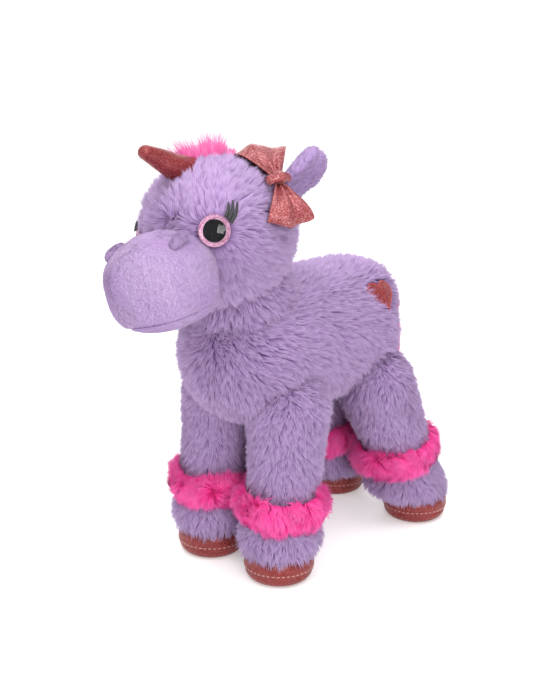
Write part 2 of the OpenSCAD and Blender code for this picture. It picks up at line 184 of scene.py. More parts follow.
def tube(path, radii, side, around=12, flat=1.0):
    """A closed tube: a ring of the given radius at each point of a path, flattened along its second axis."""
    along = unit(np.gradient(path, axis=0))
    x = unit(side - along * (along @ side)[:, None])
    y = np.cross(along, x)
    a = np.linspace(0, 2 * math.pi, around, endpoint=False)[None, :, None]
    radii = np.broadcast_to(radii, len(path))[:, None, None]
    return path[:, None] + radii * (np.cos(a) * x[:, None] + flat * np.sin(a) * y[:, None])


# ---- pile ----------------------------------------------------------------

def scatter(grid, count, rng):
    """Roots spread evenly by area over a closed grid, with the grid's outward normal at each."""
    p = np.concatenate([grid, grid[:, :1]], axis=1)
    a, b, c, d = p[:-1, :-1], p[1:, :-1], p[1:, 1:], p[:-1, 1:]
    tri = np.concatenate([np.stack([a, b, c], 2), np.stack([a, c, d], 2)], 1).reshape(-1, 3, 3)
    cross = np.cross(tri[:, 1] - tri[:, 0], tri[:, 2] - tri[:, 0])
    area = np.linalg.norm(cross, axis=1)
    total = np.cumsum(area)
    pick = np.searchsorted(total, (np.arange(count) + rng.random(count)) / count * total[-1])
    pick = np.minimum(pick, len(tri) - 1)
    s, t = np.sqrt(rng.random(count))[:, None], rng.random(count)[:, None]
    roots = (1 - s) * tri[pick, 0] + s * (1 - t) * tri[pick, 1] + s * t * tri[pick, 2]
    outward = np.sign(np.einsum("ij,ij->i", cross, tri[:, 0] - grid.mean(axis=(0, 1))).sum())
    return roots, unit(cross[pick]) * outward


def scramble(cells, seed):
    """Three steady random numbers from 0 to 1 for each whole-number cell."""
    key = (cells[:, 0] * 73856093) ^ (cells[:, 1] * 19349663) ^ (cells[:, 2] * 83492791)
    wave = np.sin((key % 100003)[:, None] * [12.9898, 78.233, 37.719] + seed) * 43758.5453
    return wave - np.floor(wave)


def locks(points, size, seed):
    """The nearest point of a jittered lattice, which is the lock's middle, and three numbers of its own."""
    cell = np.floor(points / size).astype(np.int64)
    best = np.full(len(points), np.inf)
    centre, own = np.zeros_like(points), np.zeros_like(points)
    for step in np.ndindex(3, 3, 3):
        c = cell + np.array(step) - 1
        place = (c + scramble(c, seed)) * size
        distance = ((points - place) ** 2).sum(axis=1)
        near = distance < best
        best[near], centre[near] = distance[near], place[near]
        own[near] = scramble(c, seed + 1)[near]
    return centre, own


def pile(name, roots, normals, flow, body, material, length, width, lean,
         lock=4 * MM, gather=0.45, bent=False, tint=0.5, ragged=0.25, seed=1):
    """Strands of pile: thin closed spikes that lean from the normal towards the flow.

    Strands of one lock gather at their tips, share a tilt, and are lit as one rounded lump.
    A straight strand is a pointed triangle; a bent one has a second ring half way up.
    """
    count = len(roots)
    rng = np.random.default_rng(seed)
    centre, own = locks(roots, lock, seed)
    to_centre = centre - roots
    to_centre -= normals * np.einsum("ij,ij->i", to_centre, normals)[:, None]
    side = np.cross(normals, unit(flow))
    flow = unit(flow + side * (own[:, :1] - 0.5) * 0.9 + rng.normal(size=(count, 3)) * 0.12)
    lean = np.broadcast_to(lean, count) + (own[:, 1] - 0.5) * 0.35 + rng.normal(size=count) * 0.08
    size = np.broadcast_to(length, count) * (1 - ragged * own[:, 2] - ragged * rng.random(count))
    way = unit(normals * np.cos(lean)[:, None] + flow * np.sin(lean)[:, None])
    tips = roots + way * size[:, None] + gather * to_centre
    across = unit(np.cross(way, rng.normal(size=(count, 3))))
    up = np.cross(way, across)
    a = np.arange(3) * 2 * math.pi / 3
    ring = np.cos(a)[:, None] * across[:, None] + np.sin(a)[:, None] * up[:, None]
    width = np.broadcast_to(width, count)[:, None, None]
    base = roots[:, None] + ring * width
    shade = unit(normals - to_centre * (0.5 / lock) + way * 0.25)
    n = np.arange(count)[:, None, None]
    if bent:
        heavy = roots + unit(normals * np.cos(lean * 0.6)[:, None] + flow * np.sin(lean * 0.6)[:, None]) \
            * size[:, None] * 0.5 + gather * 0.3 * to_centre
        points = np.concatenate([base, heavy[:, None] + ring * width * 0.8, tips[:, None]], axis=1)
        pattern = np.array([[0, 2, 1], [0, 1, 4], [0, 4, 3], [1, 2, 5], [1, 5, 4], [2, 0, 3], [2, 3, 5],
                            [3, 4, 6], [4, 5, 6], [5, 3, 6]])
        climb = np.array([0.02] * 3 + [0.5] * 3 + [0.98])
    else:
        points = np.concatenate([base, tips[:, None]], axis=1)
        pattern = np.array([[0, 2, 1], [0, 1, 3], [1, 2, 3], [2, 0, 3]])
        climb = np.array([0.02] * 3 + [0.98])
    corners = points.shape[1]
    faces = (pattern[None] + n * corners).reshape(-1, 3)
    tone = np.clip(tint + (own[:, 2] - 0.5) * 0.35 + rng.normal(size=count) * 0.09, 0.02, 0.97)
    across_map = tone[:, None] + np.linspace(0, 0.012, corners)
    uv = np.stack([across_map, np.broadcast_to(climb, (count, corners))], -1)
    light = np.repeat(shade, corners, axis=0)
    return make_mesh(name, points.reshape(-1, 3), faces, body, material, light, uv.reshape(-1, 2))


def tangent(way, normals):
    """The part of a direction that lies along the surface."""
    way = np.broadcast_to(way, normals.shape)
    return way - normals * np.einsum("ij,ij->i", way, normals)[:, None]


# ---- shader groups and materials -----------------------------------------

BLACK = (0, 0, 0, 1)


def new_group(name, inputs, outputs):
    """A shader node group with named sockets; each input gives its kind and first value."""
    group = bpy.data.node_groups.new(name, "ShaderNodeTree")
    for label, kind, value in inputs:
        made = group.interface.new_socket(label, in_out="INPUT", socket_type="NodeSocket" + kind)
        made.default_value = value
    for label, kind in outputs:
        group.interface.new_socket(label, in_out="OUTPUT", socket_type="NodeSocket" + kind)
    return group, group.nodes.new("NodeGroupInput"), group.nodes.new("NodeGroupOutput")


def math_node(nodes, links, kind, first, second):
    """A Math node; each operand is a number or a socket."""
    node = nodes.new("ShaderNodeMath")
    node.operation = kind
    for k, value in enumerate((first, second)):
        if isinstance(value, (int, float)):
            node.inputs[k].default_value = value
        else:
            links.new(value, node.inputs[k])
    return node.outputs[0]


def mix_node(nodes, links, factor, first, second, blend="MIX"):
    """A colour mix; factor and colours are values or sockets."""
    node = nodes.new("ShaderNodeMix")
    node.data_type, node.blend_type = "RGBA", blend
    for socket, value in ((node.inputs[0], factor), (node.inputs[6], first), (node.inputs[7], second)):
        if isinstance(value, bpy.types.NodeSocket):
            links.new(value, socket)
        else:
            socket.default_value = value if isinstance(value, (int, float)) else (*value, 1.0)
    return node.outputs[2]


def noise_node(nodes, links, vector, scale, detail=3.0):
    node = nodes.new("ShaderNodeTexNoise")
    node.inputs["Scale"].default_value = scale
    node.inputs["Detail"].default_value = detail
    links.new(vector, node.inputs["Vector"])
    return node.outputs["Fac"]


def strand_group():
    """Pile colour from the strand's own map: across is the strand's tone, up runs from root to tip; the dark
    root is painted shade deep in the pile and the pale tip is painted light on the tips.
    """
    colours = [(label, "Color", BLACK) for label in ("Root", "Middle", "Tip", "Warm")]
    group, start, end = new_group("strand_colour", colours, [("Color", "Color")])
    nodes, links = group.nodes, group.links
    layer = nodes.new("ShaderNodeUVMap")
    layer.uv_map = "OFBake"
    split = nodes.new("ShaderNodeSeparateXYZ")
    links.new(layer.outputs["UV"], split.inputs[0])
    low = math_node(nodes, links, "MULTIPLY", split.outputs["Y"], 2.0)
    low = math_node(nodes, links, "MINIMUM", low, 1.0)
    high = math_node(nodes, links, "SUBTRACT", split.outputs["Y"], 0.5)
    high = math_node(nodes, links, "MULTIPLY", high, 2.0)
    high = math_node(nodes, links, "MAXIMUM", high, 0.0)
    # painted shade: the colour darkens towards the root, where the depths of the pile lie in shade
    body = mix_node(nodes, links, low, start.outputs["Root"], start.outputs["Middle"])
    # painted light: the colour pales towards the tip, where the tips catch the light
    body = mix_node(nodes, links, high, body, start.outputs["Tip"])
    body = mix_node(nodes, links, math_node(nodes, links, "MULTIPLY", split.outputs["X"], 0.5), body,
                    start.outputs["Warm"])
    links.new(body, end.inputs["Color"])
    return group


def nap_group():
    """Short brushed nap: soft blotches of a second colour, fine flecks and a height of tiny fibres."""
    inputs = [(label, "Color", BLACK) for label in ("Base", "Blotch", "Pale")]
    inputs.append(("Blotch scale", "Float", 28.0))
    group, start, end = new_group("brushed_nap", inputs, [("Color", "Color"), ("Height", "Float")])
    nodes, links = group.nodes, group.links
    place = nodes.new("ShaderNodeTexCoord").outputs["Object"]
    big = nodes.new("ShaderNodeTexNoise")
    big.inputs["Detail"].default_value = 1.5
    links.new(place, big.inputs["Vector"])
    links.new(start.outputs["Blotch scale"], big.inputs["Scale"])
    spread = nodes.new("ShaderNodeMapRange")
    spread.inputs["From Min"].default_value, spread.inputs["From Max"].default_value = 0.42, 0.68
    links.new(big.outputs["Fac"], spread.inputs["Value"])
    colour = mix_node(nodes, links, spread.outputs["Result"], start.outputs["Base"], start.outputs["Blotch"])
    cloud = math_node(nodes, links, "MULTIPLY", noise_node(nodes, links, place, 60.0, 4.0), 0.55)
    colour = mix_node(nodes, links, cloud, colour, start.outputs["Pale"])
    fleck = noise_node(nodes, links, place, 2400.0, 2.0)
    fleck = math_node(nodes, links, "MULTIPLY", fleck, 0.35)
    colour = mix_node(nodes, links, fleck, colour, start.outputs["Pale"])
    links.new(colour, end.inputs["Color"])
    fuzz = noise_node(nodes, links, place, 1500.0, 3.0)
    waves = math_node(nodes, links, "MULTIPLY", noise_node(nodes, links, place, 200.0, 1.0), 0.4)
    links.new(math_node(nodes, links, "ADD", fuzz, waves), end.inputs["Height"])
    return group


def glitter_group():
    """Glitter cloth: tiny cells, each with its own tone and tilt, over soft patches of deeper and paler
    colour that are painted shade and painted light of folds; the brightest cells take the spark colour as
    painted glints.
    """
    inputs = [(label, "Color", BLACK) for label in ("Deep", "Bright", "Spark")]
    inputs += [("Cells", "Float", 1500.0), ("Sparks", "Float", 0.5)]
    outputs = [("Color", "Color"), ("Roughness", "Float"), ("Metallic", "Float"), ("Height", "Float")]
    group, start, end = new_group("glitter", inputs, outputs)
    nodes, links = group.nodes, group.links
    place = nodes.new("ShaderNodeTexCoord").outputs["Object"]
    cells = nodes.new("ShaderNodeTexVoronoi")
    links.new(place, cells.inputs["Vector"])
    links.new(start.outputs["Cells"], cells.inputs["Scale"])
    tone = nodes.new("ShaderNodeSeparateColor")
    links.new(cells.outputs["Color"], tone.inputs[0])
    cloud = noise_node(nodes, links, place, 70.0, 3.0)
    # painted shade and painted light: soft patches of deeper and paler colour stand in for the shade and
    # light of folds
    colour = mix_node(nodes, links, cloud, start.outputs["Deep"], start.outputs["Bright"])
    # painted glints: the brightest cells take the pale spark colour
    spark = math_node(nodes, links, "POWER", tone.outputs[0], 2.2)
    spark = math_node(nodes, links, "MULTIPLY", spark, start.outputs["Sparks"])
    colour = mix_node(nodes, links, spark, colour, start.outputs["Spark"])
    shade = math_node(nodes, links, "MULTIPLY", tone.outputs[1], 0.45)
    colour = mix_node(nodes, links, shade, colour, start.outputs["Deep"])
    links.new(colour, end.inputs["Color"])
    links.new(math_node(nodes, links, "MULTIPLY", tone.outputs[2], 0.5), end.inputs["Metallic"])
    rough = math_node(nodes, links, "MULTIPLY", tone.outputs[1], 0.35)
    links.new(math_node(nodes, links, "ADD", rough, 0.25), end.inputs["Roughness"])
    links.new(tone.outputs[0], end.inputs["Height"])
    return group


STRAND, NAP, GLITTER = strand_group(), nap_group(), glitter_group()


def new_material(name, roughness=0.8, sheen=0.0):
    """A Principled material with the constant values set on the shader itself."""
    material = bpy.data.materials.new(name)
    material.use_nodes = True
    shader = material.node_tree.nodes["Principled BSDF"]
    shader.inputs["Roughness"].default_value = roughness
    shader.inputs["Sheen Weight"].default_value = sheen
    return material, material.node_tree.nodes, material.node_tree.links, shader


def use_group(nodes, group, **values):
    """The group placed in a material; a colour is three numbers, and _ in a name stands for a space."""
    node = nodes.new("ShaderNodeGroup")
    node.node_tree = group
    for label, value in values.items():
        socket = node.inputs[label.replace("_", " ")]
        socket.default_value = value if isinstance(value, (int, float)) else (*value, 1.0)
    return node


def pile_material(name, root, body, tip, warm, roughness=0.75, sheen=0.25):
    material, nodes, links, shader = new_material(name, roughness, sheen)
    shader.inputs["Sheen Tint"].default_value = (*tip, 1.0)
    shader.inputs["Specular IOR Level"].default_value = 0.2
    # the root colour is painted shade and the tip colour painted light; the tip colour also tints the sheen
    strand = use_group(nodes, STRAND, Root=root, Middle=body, Tip=tip, Warm=warm)
    links.new(strand.outputs["Color"], shader.inputs["Base Color"])
    return material


def nap_material(name, base, blotch, pale, scale=28.0, depth=0.25):
    material, nodes, links, shader = new_material(name, 0.85, 0.35)
    shader.inputs["Sheen Tint"].default_value = (*pale, 1.0)
    shader.inputs["Specular IOR Level"].default_value = 0.15
    nap = use_group(nodes, NAP, Base=base, Blotch=blotch, Pale=pale, Blotch_scale=scale)
    links.new(nap.outputs["Color"], shader.inputs["Base Color"])
    bump = nodes.new("ShaderNodeBump")
    bump.inputs["Strength"].default_value = depth
    bump.inputs["Distance"].default_value = 0.4 * MM
    links.new(nap.outputs["Height"], bump.inputs["Height"])
    links.new(bump.outputs["Normal"], shader.inputs["Normal"])
    return material


def glitter_material(name, deep, bright, spark, cells=1500.0, sparks=0.5, depth=0.5):
    material, nodes, links, shader = new_material(name, 0.4)
    glitter = use_group(nodes, GLITTER, Deep=deep, Bright=bright, Spark=spark, Cells=cells, Sparks=sparks)
    for label in ("Roughness", "Metallic"):
        links.new(glitter.outputs[label], shader.inputs[label])
    links.new(glitter.outputs["Color"], shader.inputs["Base Color"])
    bump = nodes.new("ShaderNodeBump")
    bump.inputs["Strength"].default_value = depth
    bump.inputs["Distance"].default_value = 0.25 * MM
    links.new(glitter.outputs["Height"], bump.inputs["Height"])
    links.new(bump.outputs["Normal"], shader.inputs["Normal"])
    return material


def thread_material(name, dark, light, roughness=0.6):
    """Twisted thread: fine bands of a darker and a lighter tone."""
    material, nodes, links, shader = new_material(name, roughness, 0.2)
    place = nodes.new("ShaderNodeTexCoord").outputs["Object"]
    colour = mix_node(nodes, links, noise_node(nodes, links, place, 1800.0, 2.0), dark, light)
    links.new(colour, shader.inputs["Base Color"])
    return material


def clear_material(name):
    """The clear dome over an eye."""
    material, _, _, shader = new_material(name, 0.03)
    shader.inputs["Base Color"].default_value = (1.0, 1.0, 1.0, 1.0)
    shader.inputs["Transmission Weight"].default_value = 1.0
    shader.inputs["IOR"].default_value = 1.25
    return material


# Pile colours are root, middle, tip and warm: each dark root colour is painted shade deep in the pile and
# each pale tip colour is painted light on the tips.
LAVENDER = pile_material("lavender_pile", (0.12, 0.06, 0.17), (0.37, 0.235, 0.48), (0.62, 0.47, 0.72),
                         (0.48, 0.32, 0.58))
LAVENDER_EAR = pile_material("lavender_short_pile", (0.24, 0.13, 0.34), (0.39, 0.26, 0.51),
                             (0.53, 0.39, 0.64), (0.45, 0.31, 0.57))
# Backing under the pile, as dark as the pile's roots: its colour is painted shade beneath the pile.
SHADED_LAVENDER_BACK = nap_material("lavender_backing_painted_shade", (0.13, 0.07, 0.20), (0.10, 0.05, 0.16), (0.17, 0.10, 0.25))
LAVENDER_NAP = nap_material("lavender_short_nap", (0.42, 0.28, 0.56), (0.36, 0.22, 0.51), (0.56, 0.43, 0.70))
# The muzzle pile's warm colour is a darker purple: its patches are painted shade of the muzzle's dimples and
# creases.
MUZZLE_PILE = pile_material("muzzle_pile", (0.34, 0.21, 0.43), (0.44, 0.32, 0.52), (0.56, 0.44, 0.62),
                            (0.31, 0.17, 0.44), 0.8, 0.3)
# The muzzle nap's blotch colour is painted shade of the muzzle's dimples and creases.
MUZZLE_NAP = nap_material("muzzle_nap", (0.42, 0.30, 0.50), (0.30, 0.16, 0.42), (0.54, 0.43, 0.60),
                          26.0, 0.15)
PINK = pile_material("hot_pink_pile", (0.58, 0.0, 0.11), (0.95, 0.02, 0.27), (1.0, 0.20, 0.55),
                     (1.0, 0.10, 0.42), 0.5, 0.2)
PINK_PALE = pile_material("forelock_pile", (0.50, 0.003, 0.13), (0.74, 0.04, 0.27), (0.84, 0.27, 0.50),
                          (0.80, 0.17, 0.42), 0.5, 0.1)
# Backing under the pink pile, as dark as its roots: its colour is painted shade beneath the pile.
SHADED_PINK_BACK = nap_material("hot_pink_backing_painted_shade", (0.45, 0.005, 0.09), (0.36, 0.004, 0.07), (0.55, 0.01, 0.13))
RED_GLITTER = glitter_material("red_glitter_cloth", (0.14, 0.005, 0.007), (0.27, 0.015, 0.02),
                               (0.62, 0.25, 0.25), sparks=0.35)
BOW_GLITTER = glitter_material("bow_glitter_cloth", (0.15, 0.004, 0.006), (0.30, 0.028, 0.036),
                               (0.72, 0.36, 0.37), sparks=0.65)
HOOF_GLITTER = glitter_material("hoof_glitter_cloth", (0.13, 0.006, 0.006), (0.29, 0.018, 0.017),
                                (0.52, 0.20, 0.17), sparks=0.35)
SATIN = thread_material("satin_edge", (0.24, 0.004, 0.012), (0.38, 0.015, 0.03), 0.35)
IRIS = glitter_material("pink_glitter_iris", (0.30, 0.04, 0.16), (0.62, 0.20, 0.42), (1.0, 0.75, 0.88),
                        2600.0, 1.0)
PALE_THREAD = thread_material("pale_thread", (0.42, 0.17, 0.16), (0.56, 0.33, 0.30))
BLACK_THREAD = thread_material("black_thread", (0.004, 0.004, 0.006), (0.015, 0.015, 0.022), 0.5)
PURPLE_THREAD = thread_material("purple_thread", (0.13, 0.06, 0.20), (0.22, 0.12, 0.31))
CLEAR = clear_material("clear_dome")
WHITE_PLASTIC = thread_material("white_moulding", (0.74, 0.74, 0.72), (0.82, 0.82, 0.80), 0.45)


def pupil_material():
    """Deep black under the dome, with the faint unevenness of moulded plastic."""
    material, nodes, links, shader = new_material("black_moulding", 0.5)
    shader.inputs["Specular IOR Level"].default_value = 0.05
    place = nodes.new("ShaderNodeTexCoord").outputs["Object"]
    grain = noise_node(nodes, links, place, 300.0)
    colour = mix_node(nodes, links, grain, (0.002, 0.002, 0.003), (0.008, 0.007, 0.01))
    links.new(colour, shader.inputs["Base Color"])
    return material


PUPIL = pupil_material()


# ---- the frame's own places ----------------------------------------------

HEAD_X = joint_axis("horn_flex")
HEAD = np.stack([HEAD_X, unit(np.cross([0, 0, 1], HEAD_X)),
                 np.cross(HEAD_X, unit(np.cross([0, 0, 1], HEAD_X)))], axis=1)
fill_low, fill_high = box("head_stuffing")
FILL_R = (fill_high[0] - fill_low[0]) / 2
HEAD_C = np.array([(fill_high[0] + fill_low[0]) / 2, fill_high[1] - FILL_R, fill_high[2] - FILL_R])
HEAD_R = FILL_R + 3.2 * MM
NECK = joint_at("neck_turn")
body_low, body_high = box("torso_stuffing")
BODY_R = (body_high[2] - body_low[2]) / 2 + 3.2 * MM
CHEST = np.array([NECK[0], body_low[1] - 3.2 * MM + BODY_R, (body_high[2] + body_low[2]) / 2])
RUMP = np.array([NECK[0], body_high[1] + 3.2 * MM - BODY_R, CHEST[2]])
EYES = {s: unit(middle("eye_lens_" + s) - HEAD_C) for s in ("left", "right")}
MUZZLE_C = HEAD_C + HEAD @ np.array([0, -61.5, -21]) * MM
MUZZLE_SIZE = np.array([36.5, 36.5, 31.5]) * MM
LEGS = ("front_left", "front_right", "hind_left", "hind_right")
PILE_DEPTH = 4.5 * MM
SQUARE = 2.3
BAND_R = 24.6 * MM
STITCHES = 44


def in_head(v):
    """A point given in the head's frame, in millimetres, in the row frame."""
    return HEAD_C + (np.asarray(v, float) * MM) @ HEAD.T


def head_frame(p):
    """Row points in the head's frame, in metres."""
    return (p - HEAD_C) @ HEAD


def inside_capsule(p, start, end, radius):
    """Which points lie in a capsule."""
    way = end - start
    t = np.clip(((p - start) @ way) / (way @ way), 0, 1)[:, None]
    return np.linalg.norm(p - start - t * way, axis=1) < radius


def inside_muzzle(p, grow):
    q = (p - MUZZLE_C) @ HEAD / (MUZZLE_SIZE + grow)
    return (q ** 2).sum(axis=1) < 1


def leg_line(leg):
    """Hip and ankle of a leg, from its joint and its sole."""
    sole = middle(leg + "_hoof_sole")
    return joint_at(leg + "_leg_swing"), np.array([sole[0], sole[1], 22 * MM])


# ---- body ----------------------------------------------------------------

def torso():
    """The body's skin and pile. The skin is a capsule along Y with a flatter, boxier rump and soft lumps."""
    length = RUMP[1] - CHEST[1]
    r = BODY_R - PILE_DEPTH
    axes = np.stack([[1.0, 0, 0], [0, 0, -1.0], [0, 1.0, 0]], axis=1)
    grid = revolve(capsule_profile(r, r, length, 20, 40), CHEST, axes, 128)
    out = unit(grid - (CHEST + np.clip((grid - CHEST)[..., 1:2], 0, length) * [0, 1, 0]))
    grid = grid + out * soft_noise(grid, 60 * MM, 3)[..., None] * 1.1 * MM
    rear = np.clip(out[..., 1] * 1.6, 0, 1)
    fuller = np.interp(out[..., 2], [-0.6, -0.2, 0.3, 0.55, 0.8, 1.0], [-2.0, -6.0, -5.0, 0.5, 4.5, 3.0])
    corner = np.exp(-((np.abs(out[..., 0]) - 0.7) / 0.32) ** 2 - ((out[..., 2] - 0.12) / 0.42) ** 2)
    grid = grid + out * ((fuller - 5.0 * corner) * rear * MM)[..., None]
    padded_piece("torso_skin", grid, "torso", SHADED_LAVENDER_BACK, 0.9,
                 "torso_left_panel", "torso_right_panel", "belly_gusset", "torso_stuffing")
    for part, seed in (("left", 41), ("right", 42)):
        roots, normals = scatter(grid, 74000, np.random.default_rng(seed))
        keep = (roots[:, 0] > CHEST[0]) == (part == "left")
        keep &= np.linalg.norm(roots - HEAD_C, axis=1) > HEAD_R - 8 * MM
        keep &= np.linalg.norm(roots - NECK, axis=1) > 24 * MM
        for leg in LEGS:
            hip, ankle = leg_line(leg)
            keep &= ~inside_capsule(roots, hip, ankle, 21 * MM)
        for heart in HEARTS:
            keep &= ~over_heart(roots, heart, 0.6 * MM)
        roots, normals = roots[keep], normals[keep]
        side = unit(roots - CHEST)[:, :1] * [1.0, 0, 0]
        flow = tangent(side * 0.5 + np.array([0, 0.75, -0.75]), normals)
        flow += soft_noise(roots, 45 * MM, 5)[:, None] * np.cross(normals, unit(flow)) * 0.45
        tone = 0.5 + 0.22 * soft_noise(roots, 70 * MM, 6)
        pile("torso_pile_" + part, roots, normals, flow, "torso", LAVENDER, 11.0 * MM, 0.54 * MM, 0.80,
             lock=3.3 * MM, gather=0.4, tint=tone, seed=seed)


def neck():
    """A soft ruff of pile on the neck, which fills the fold between head and body."""
    grid = revolve(ball_profile(34 * MM, 40), NECK + np.array([0, 2, 2]) * MM, np.eye(3), 72)
    padded_piece("neck_skin", grid, "neck", SHADED_LAVENDER_BACK, 0.9, "neck_stuffing")
    roots, normals = scatter(grid, 16000, np.random.default_rng(51))
    keep = (np.linalg.norm(roots - HEAD_C, axis=1) > HEAD_R - 8 * MM)
    keep &= ~inside_capsule(roots, CHEST, RUMP, BODY_R - 8 * MM)
    roots, normals = roots[keep], normals[keep]
    flow = tangent(np.array([0, 0.4, -1.0]), normals)
    pile("neck_pile", roots, normals, flow, "neck", LAVENDER, 11 * MM, 0.62 * MM, 0.75, seed=51)


# ---- hearts --------------------------------------------------------------

def heart_frame(node):
    """Middle of a heart and its axes: X across, Y up the heart, Z outward."""
    centre = middle(node)
    out = unit(centre - RUMP)
    up = unit(np.array([0, 0, 1.0]) - out * out[2])
    axes = np.stack([np.cross(up, out), up, out], axis=1)
    return {"node": node, "centre": centre - out * 2.6 * MM, "axes": axes}


HEARTS = [heart_frame("heart_patch_left"), heart_frame("heart_patch_right")]
HEART_HALF = 12.5 * MM


def heart_line(turn):
    """Heart outline: x = 16 sin^3 a, y = 13 cos a - 5 cos 2a - 2 cos 3a - cos 4a, over sixteen."""
    y = 13 * np.cos(turn) - 5 * np.cos(2 * turn) - 2 * np.cos(3 * turn) - np.cos(4 * turn)
    return np.stack([16 * np.sin(turn) ** 3, y], -1) / 16


def over_heart(p, heart, margin):
    q = (p - heart["centre"]) @ heart["axes"]
    reach = HEART_HALF + margin
    wide = np.abs(q[:, 0]) < reach * np.clip(1.0 - 0.9 * np.clip(-q[:, 1] / reach, 0, 1), 0, 1)
    return wide & (np.abs(q[:, 1]) < reach) & (q[:, 2] > -15 * MM)


def hearts():
    """Domed glitter hearts with a satin edge: rings of the outline shrink to the middle while they rise."""
    turn = np.linspace(0, 2 * math.pi, 96, endpoint=False)
    line = heart_line(turn)
    for heart in HEARTS:
        share = np.concatenate([[0.05, 0.5, 0.96], np.linspace(1.0, 0.03, 16)])
        rise = np.concatenate([[0.0, 0.0, 0.0], 1.0 + 1.6 * np.sqrt(np.linspace(0, 1, 16))]) * MM
        flat = share[:, None, None] * line[None] * HEART_HALF
        fall = (flat ** 2).sum(axis=-1) / (2 * BODY_R)
        local = np.concatenate([flat, (rise[:, None] - fall + 0.9 * MM)[..., None]], axis=-1)
        name = heart["node"].replace("patch", "cloth")
        padded_piece(name, heart["centre"] + local @ heart["axes"].T, "torso", RED_GLITTER, 0.4,
                     heart["node"])
        closed = np.concatenate([line, line[:1]]) * HEART_HALF
        level = 1.9 * MM - (closed ** 2).sum(axis=-1, keepdims=True) / (2 * BODY_R)
        path = heart["centre"] + np.concatenate([closed, level], axis=-1) @ heart["axes"].T
        closed_piece(name + "_edge", tube(path, 0.75 * MM, heart["axes"][:, 2], 8), "torso", SATIN)


# ---- legs ----------------------------------------------------------------

def leg_skin(leg):
    """A leg's skin: a tapered capsule from hip to ankle, a little fuller at the thigh."""
    hip, ankle = leg_line(leg)
    run = ankle - hip
    axes = frame_along(run, np.array([1.0, 0, 0]))
    hip_r, ankle_r = 30 * MM - PILE_DEPTH, 24 * MM - PILE_DEPTH - 1 * MM
    profile = capsule_profile(hip_r, ankle_r, np.linalg.norm(run), 14, 40)
    grid = revolve(profile, hip, axes, 88)
    out = unit(grid - hip - ((grid - hip) @ axes[:, 2])[..., None] * axes[:, 2])
    cuff = 7.0 * MM * np.exp(-((grid[..., 2] - 33 * MM) / (11 * MM)) ** 2)
    grid = grid + (out * cuff[..., None] + cuff_shift(leg) * (cuff / (7.0 * MM))[..., None])
    return hip, ankle, grid + out * soft_noise(grid, 50 * MM, 11)[..., None] * 0.8 * MM


def cuff_shift(leg):
    """How far a leg's cuff and band stand inward and forward of its line: only the hind ones do."""
    inward = -1 if "left" in leg else 1
    return np.array([2.5 * inward, -4.5, 0]) * MM if leg.startswith("hind") else np.zeros(3)


def leg_pile(leg, hip, ankle, grid, seed):
    """Pile down the leg. Below the band it grows longer and flares over the top of the hoof."""
    low = box(leg + "_hoof_sole")[1][2]
    roots, normals = scatter(grid, 29000, np.random.default_rng(seed))
    keep = ~inside_capsule(roots, CHEST, RUMP, BODY_R - 10 * MM)
    keep &= roots[:, 2] > low + 20 * MM
    band = band_frame(leg)
    across = (roots - band["centre"]) @ band["axes"][:, 2]
    keep &= np.abs(across) > 6 * MM
    roots, normals = roots[keep], normals[keep]
    down = np.clip((38 * MM - roots[:, 2]) / (12 * MM), 0, 1)
    flow = tangent(np.array([0, 0.1, -1.0]), normals)
    flow += soft_noise(roots, 30 * MM, 12)[:, None] * np.cross(normals, unit(flow)) * 0.35
    length = (9.5 + 2.0 * down) * MM
    tone = 0.5 + 0.2 * soft_noise(roots, 55 * MM, 13)
    lean = 0.95 - 0.15 * down
    pile(leg + "_pile", roots, normals, flow, leg + "_leg", LAVENDER, length, 0.56 * MM, lean,
         lock=2.8 * MM, gather=0.3, tint=tone, seed=seed)


def band_frame(leg):
    """Middle and axis of the long-pile band: its axis is the shortest way through the CAD ring."""
    centre = middle(leg + "_fur_band") + cuff_shift(leg) + np.array([0, 0, 2.5]) * MM
    tilt = math.radians(14 if leg.startswith("hind") else 0)
    axis = np.array([0, -math.sin(tilt), math.cos(tilt)])
    return {"centre": centre, "axes": frame_along(axis, np.array([1.0, 0, 0]))}


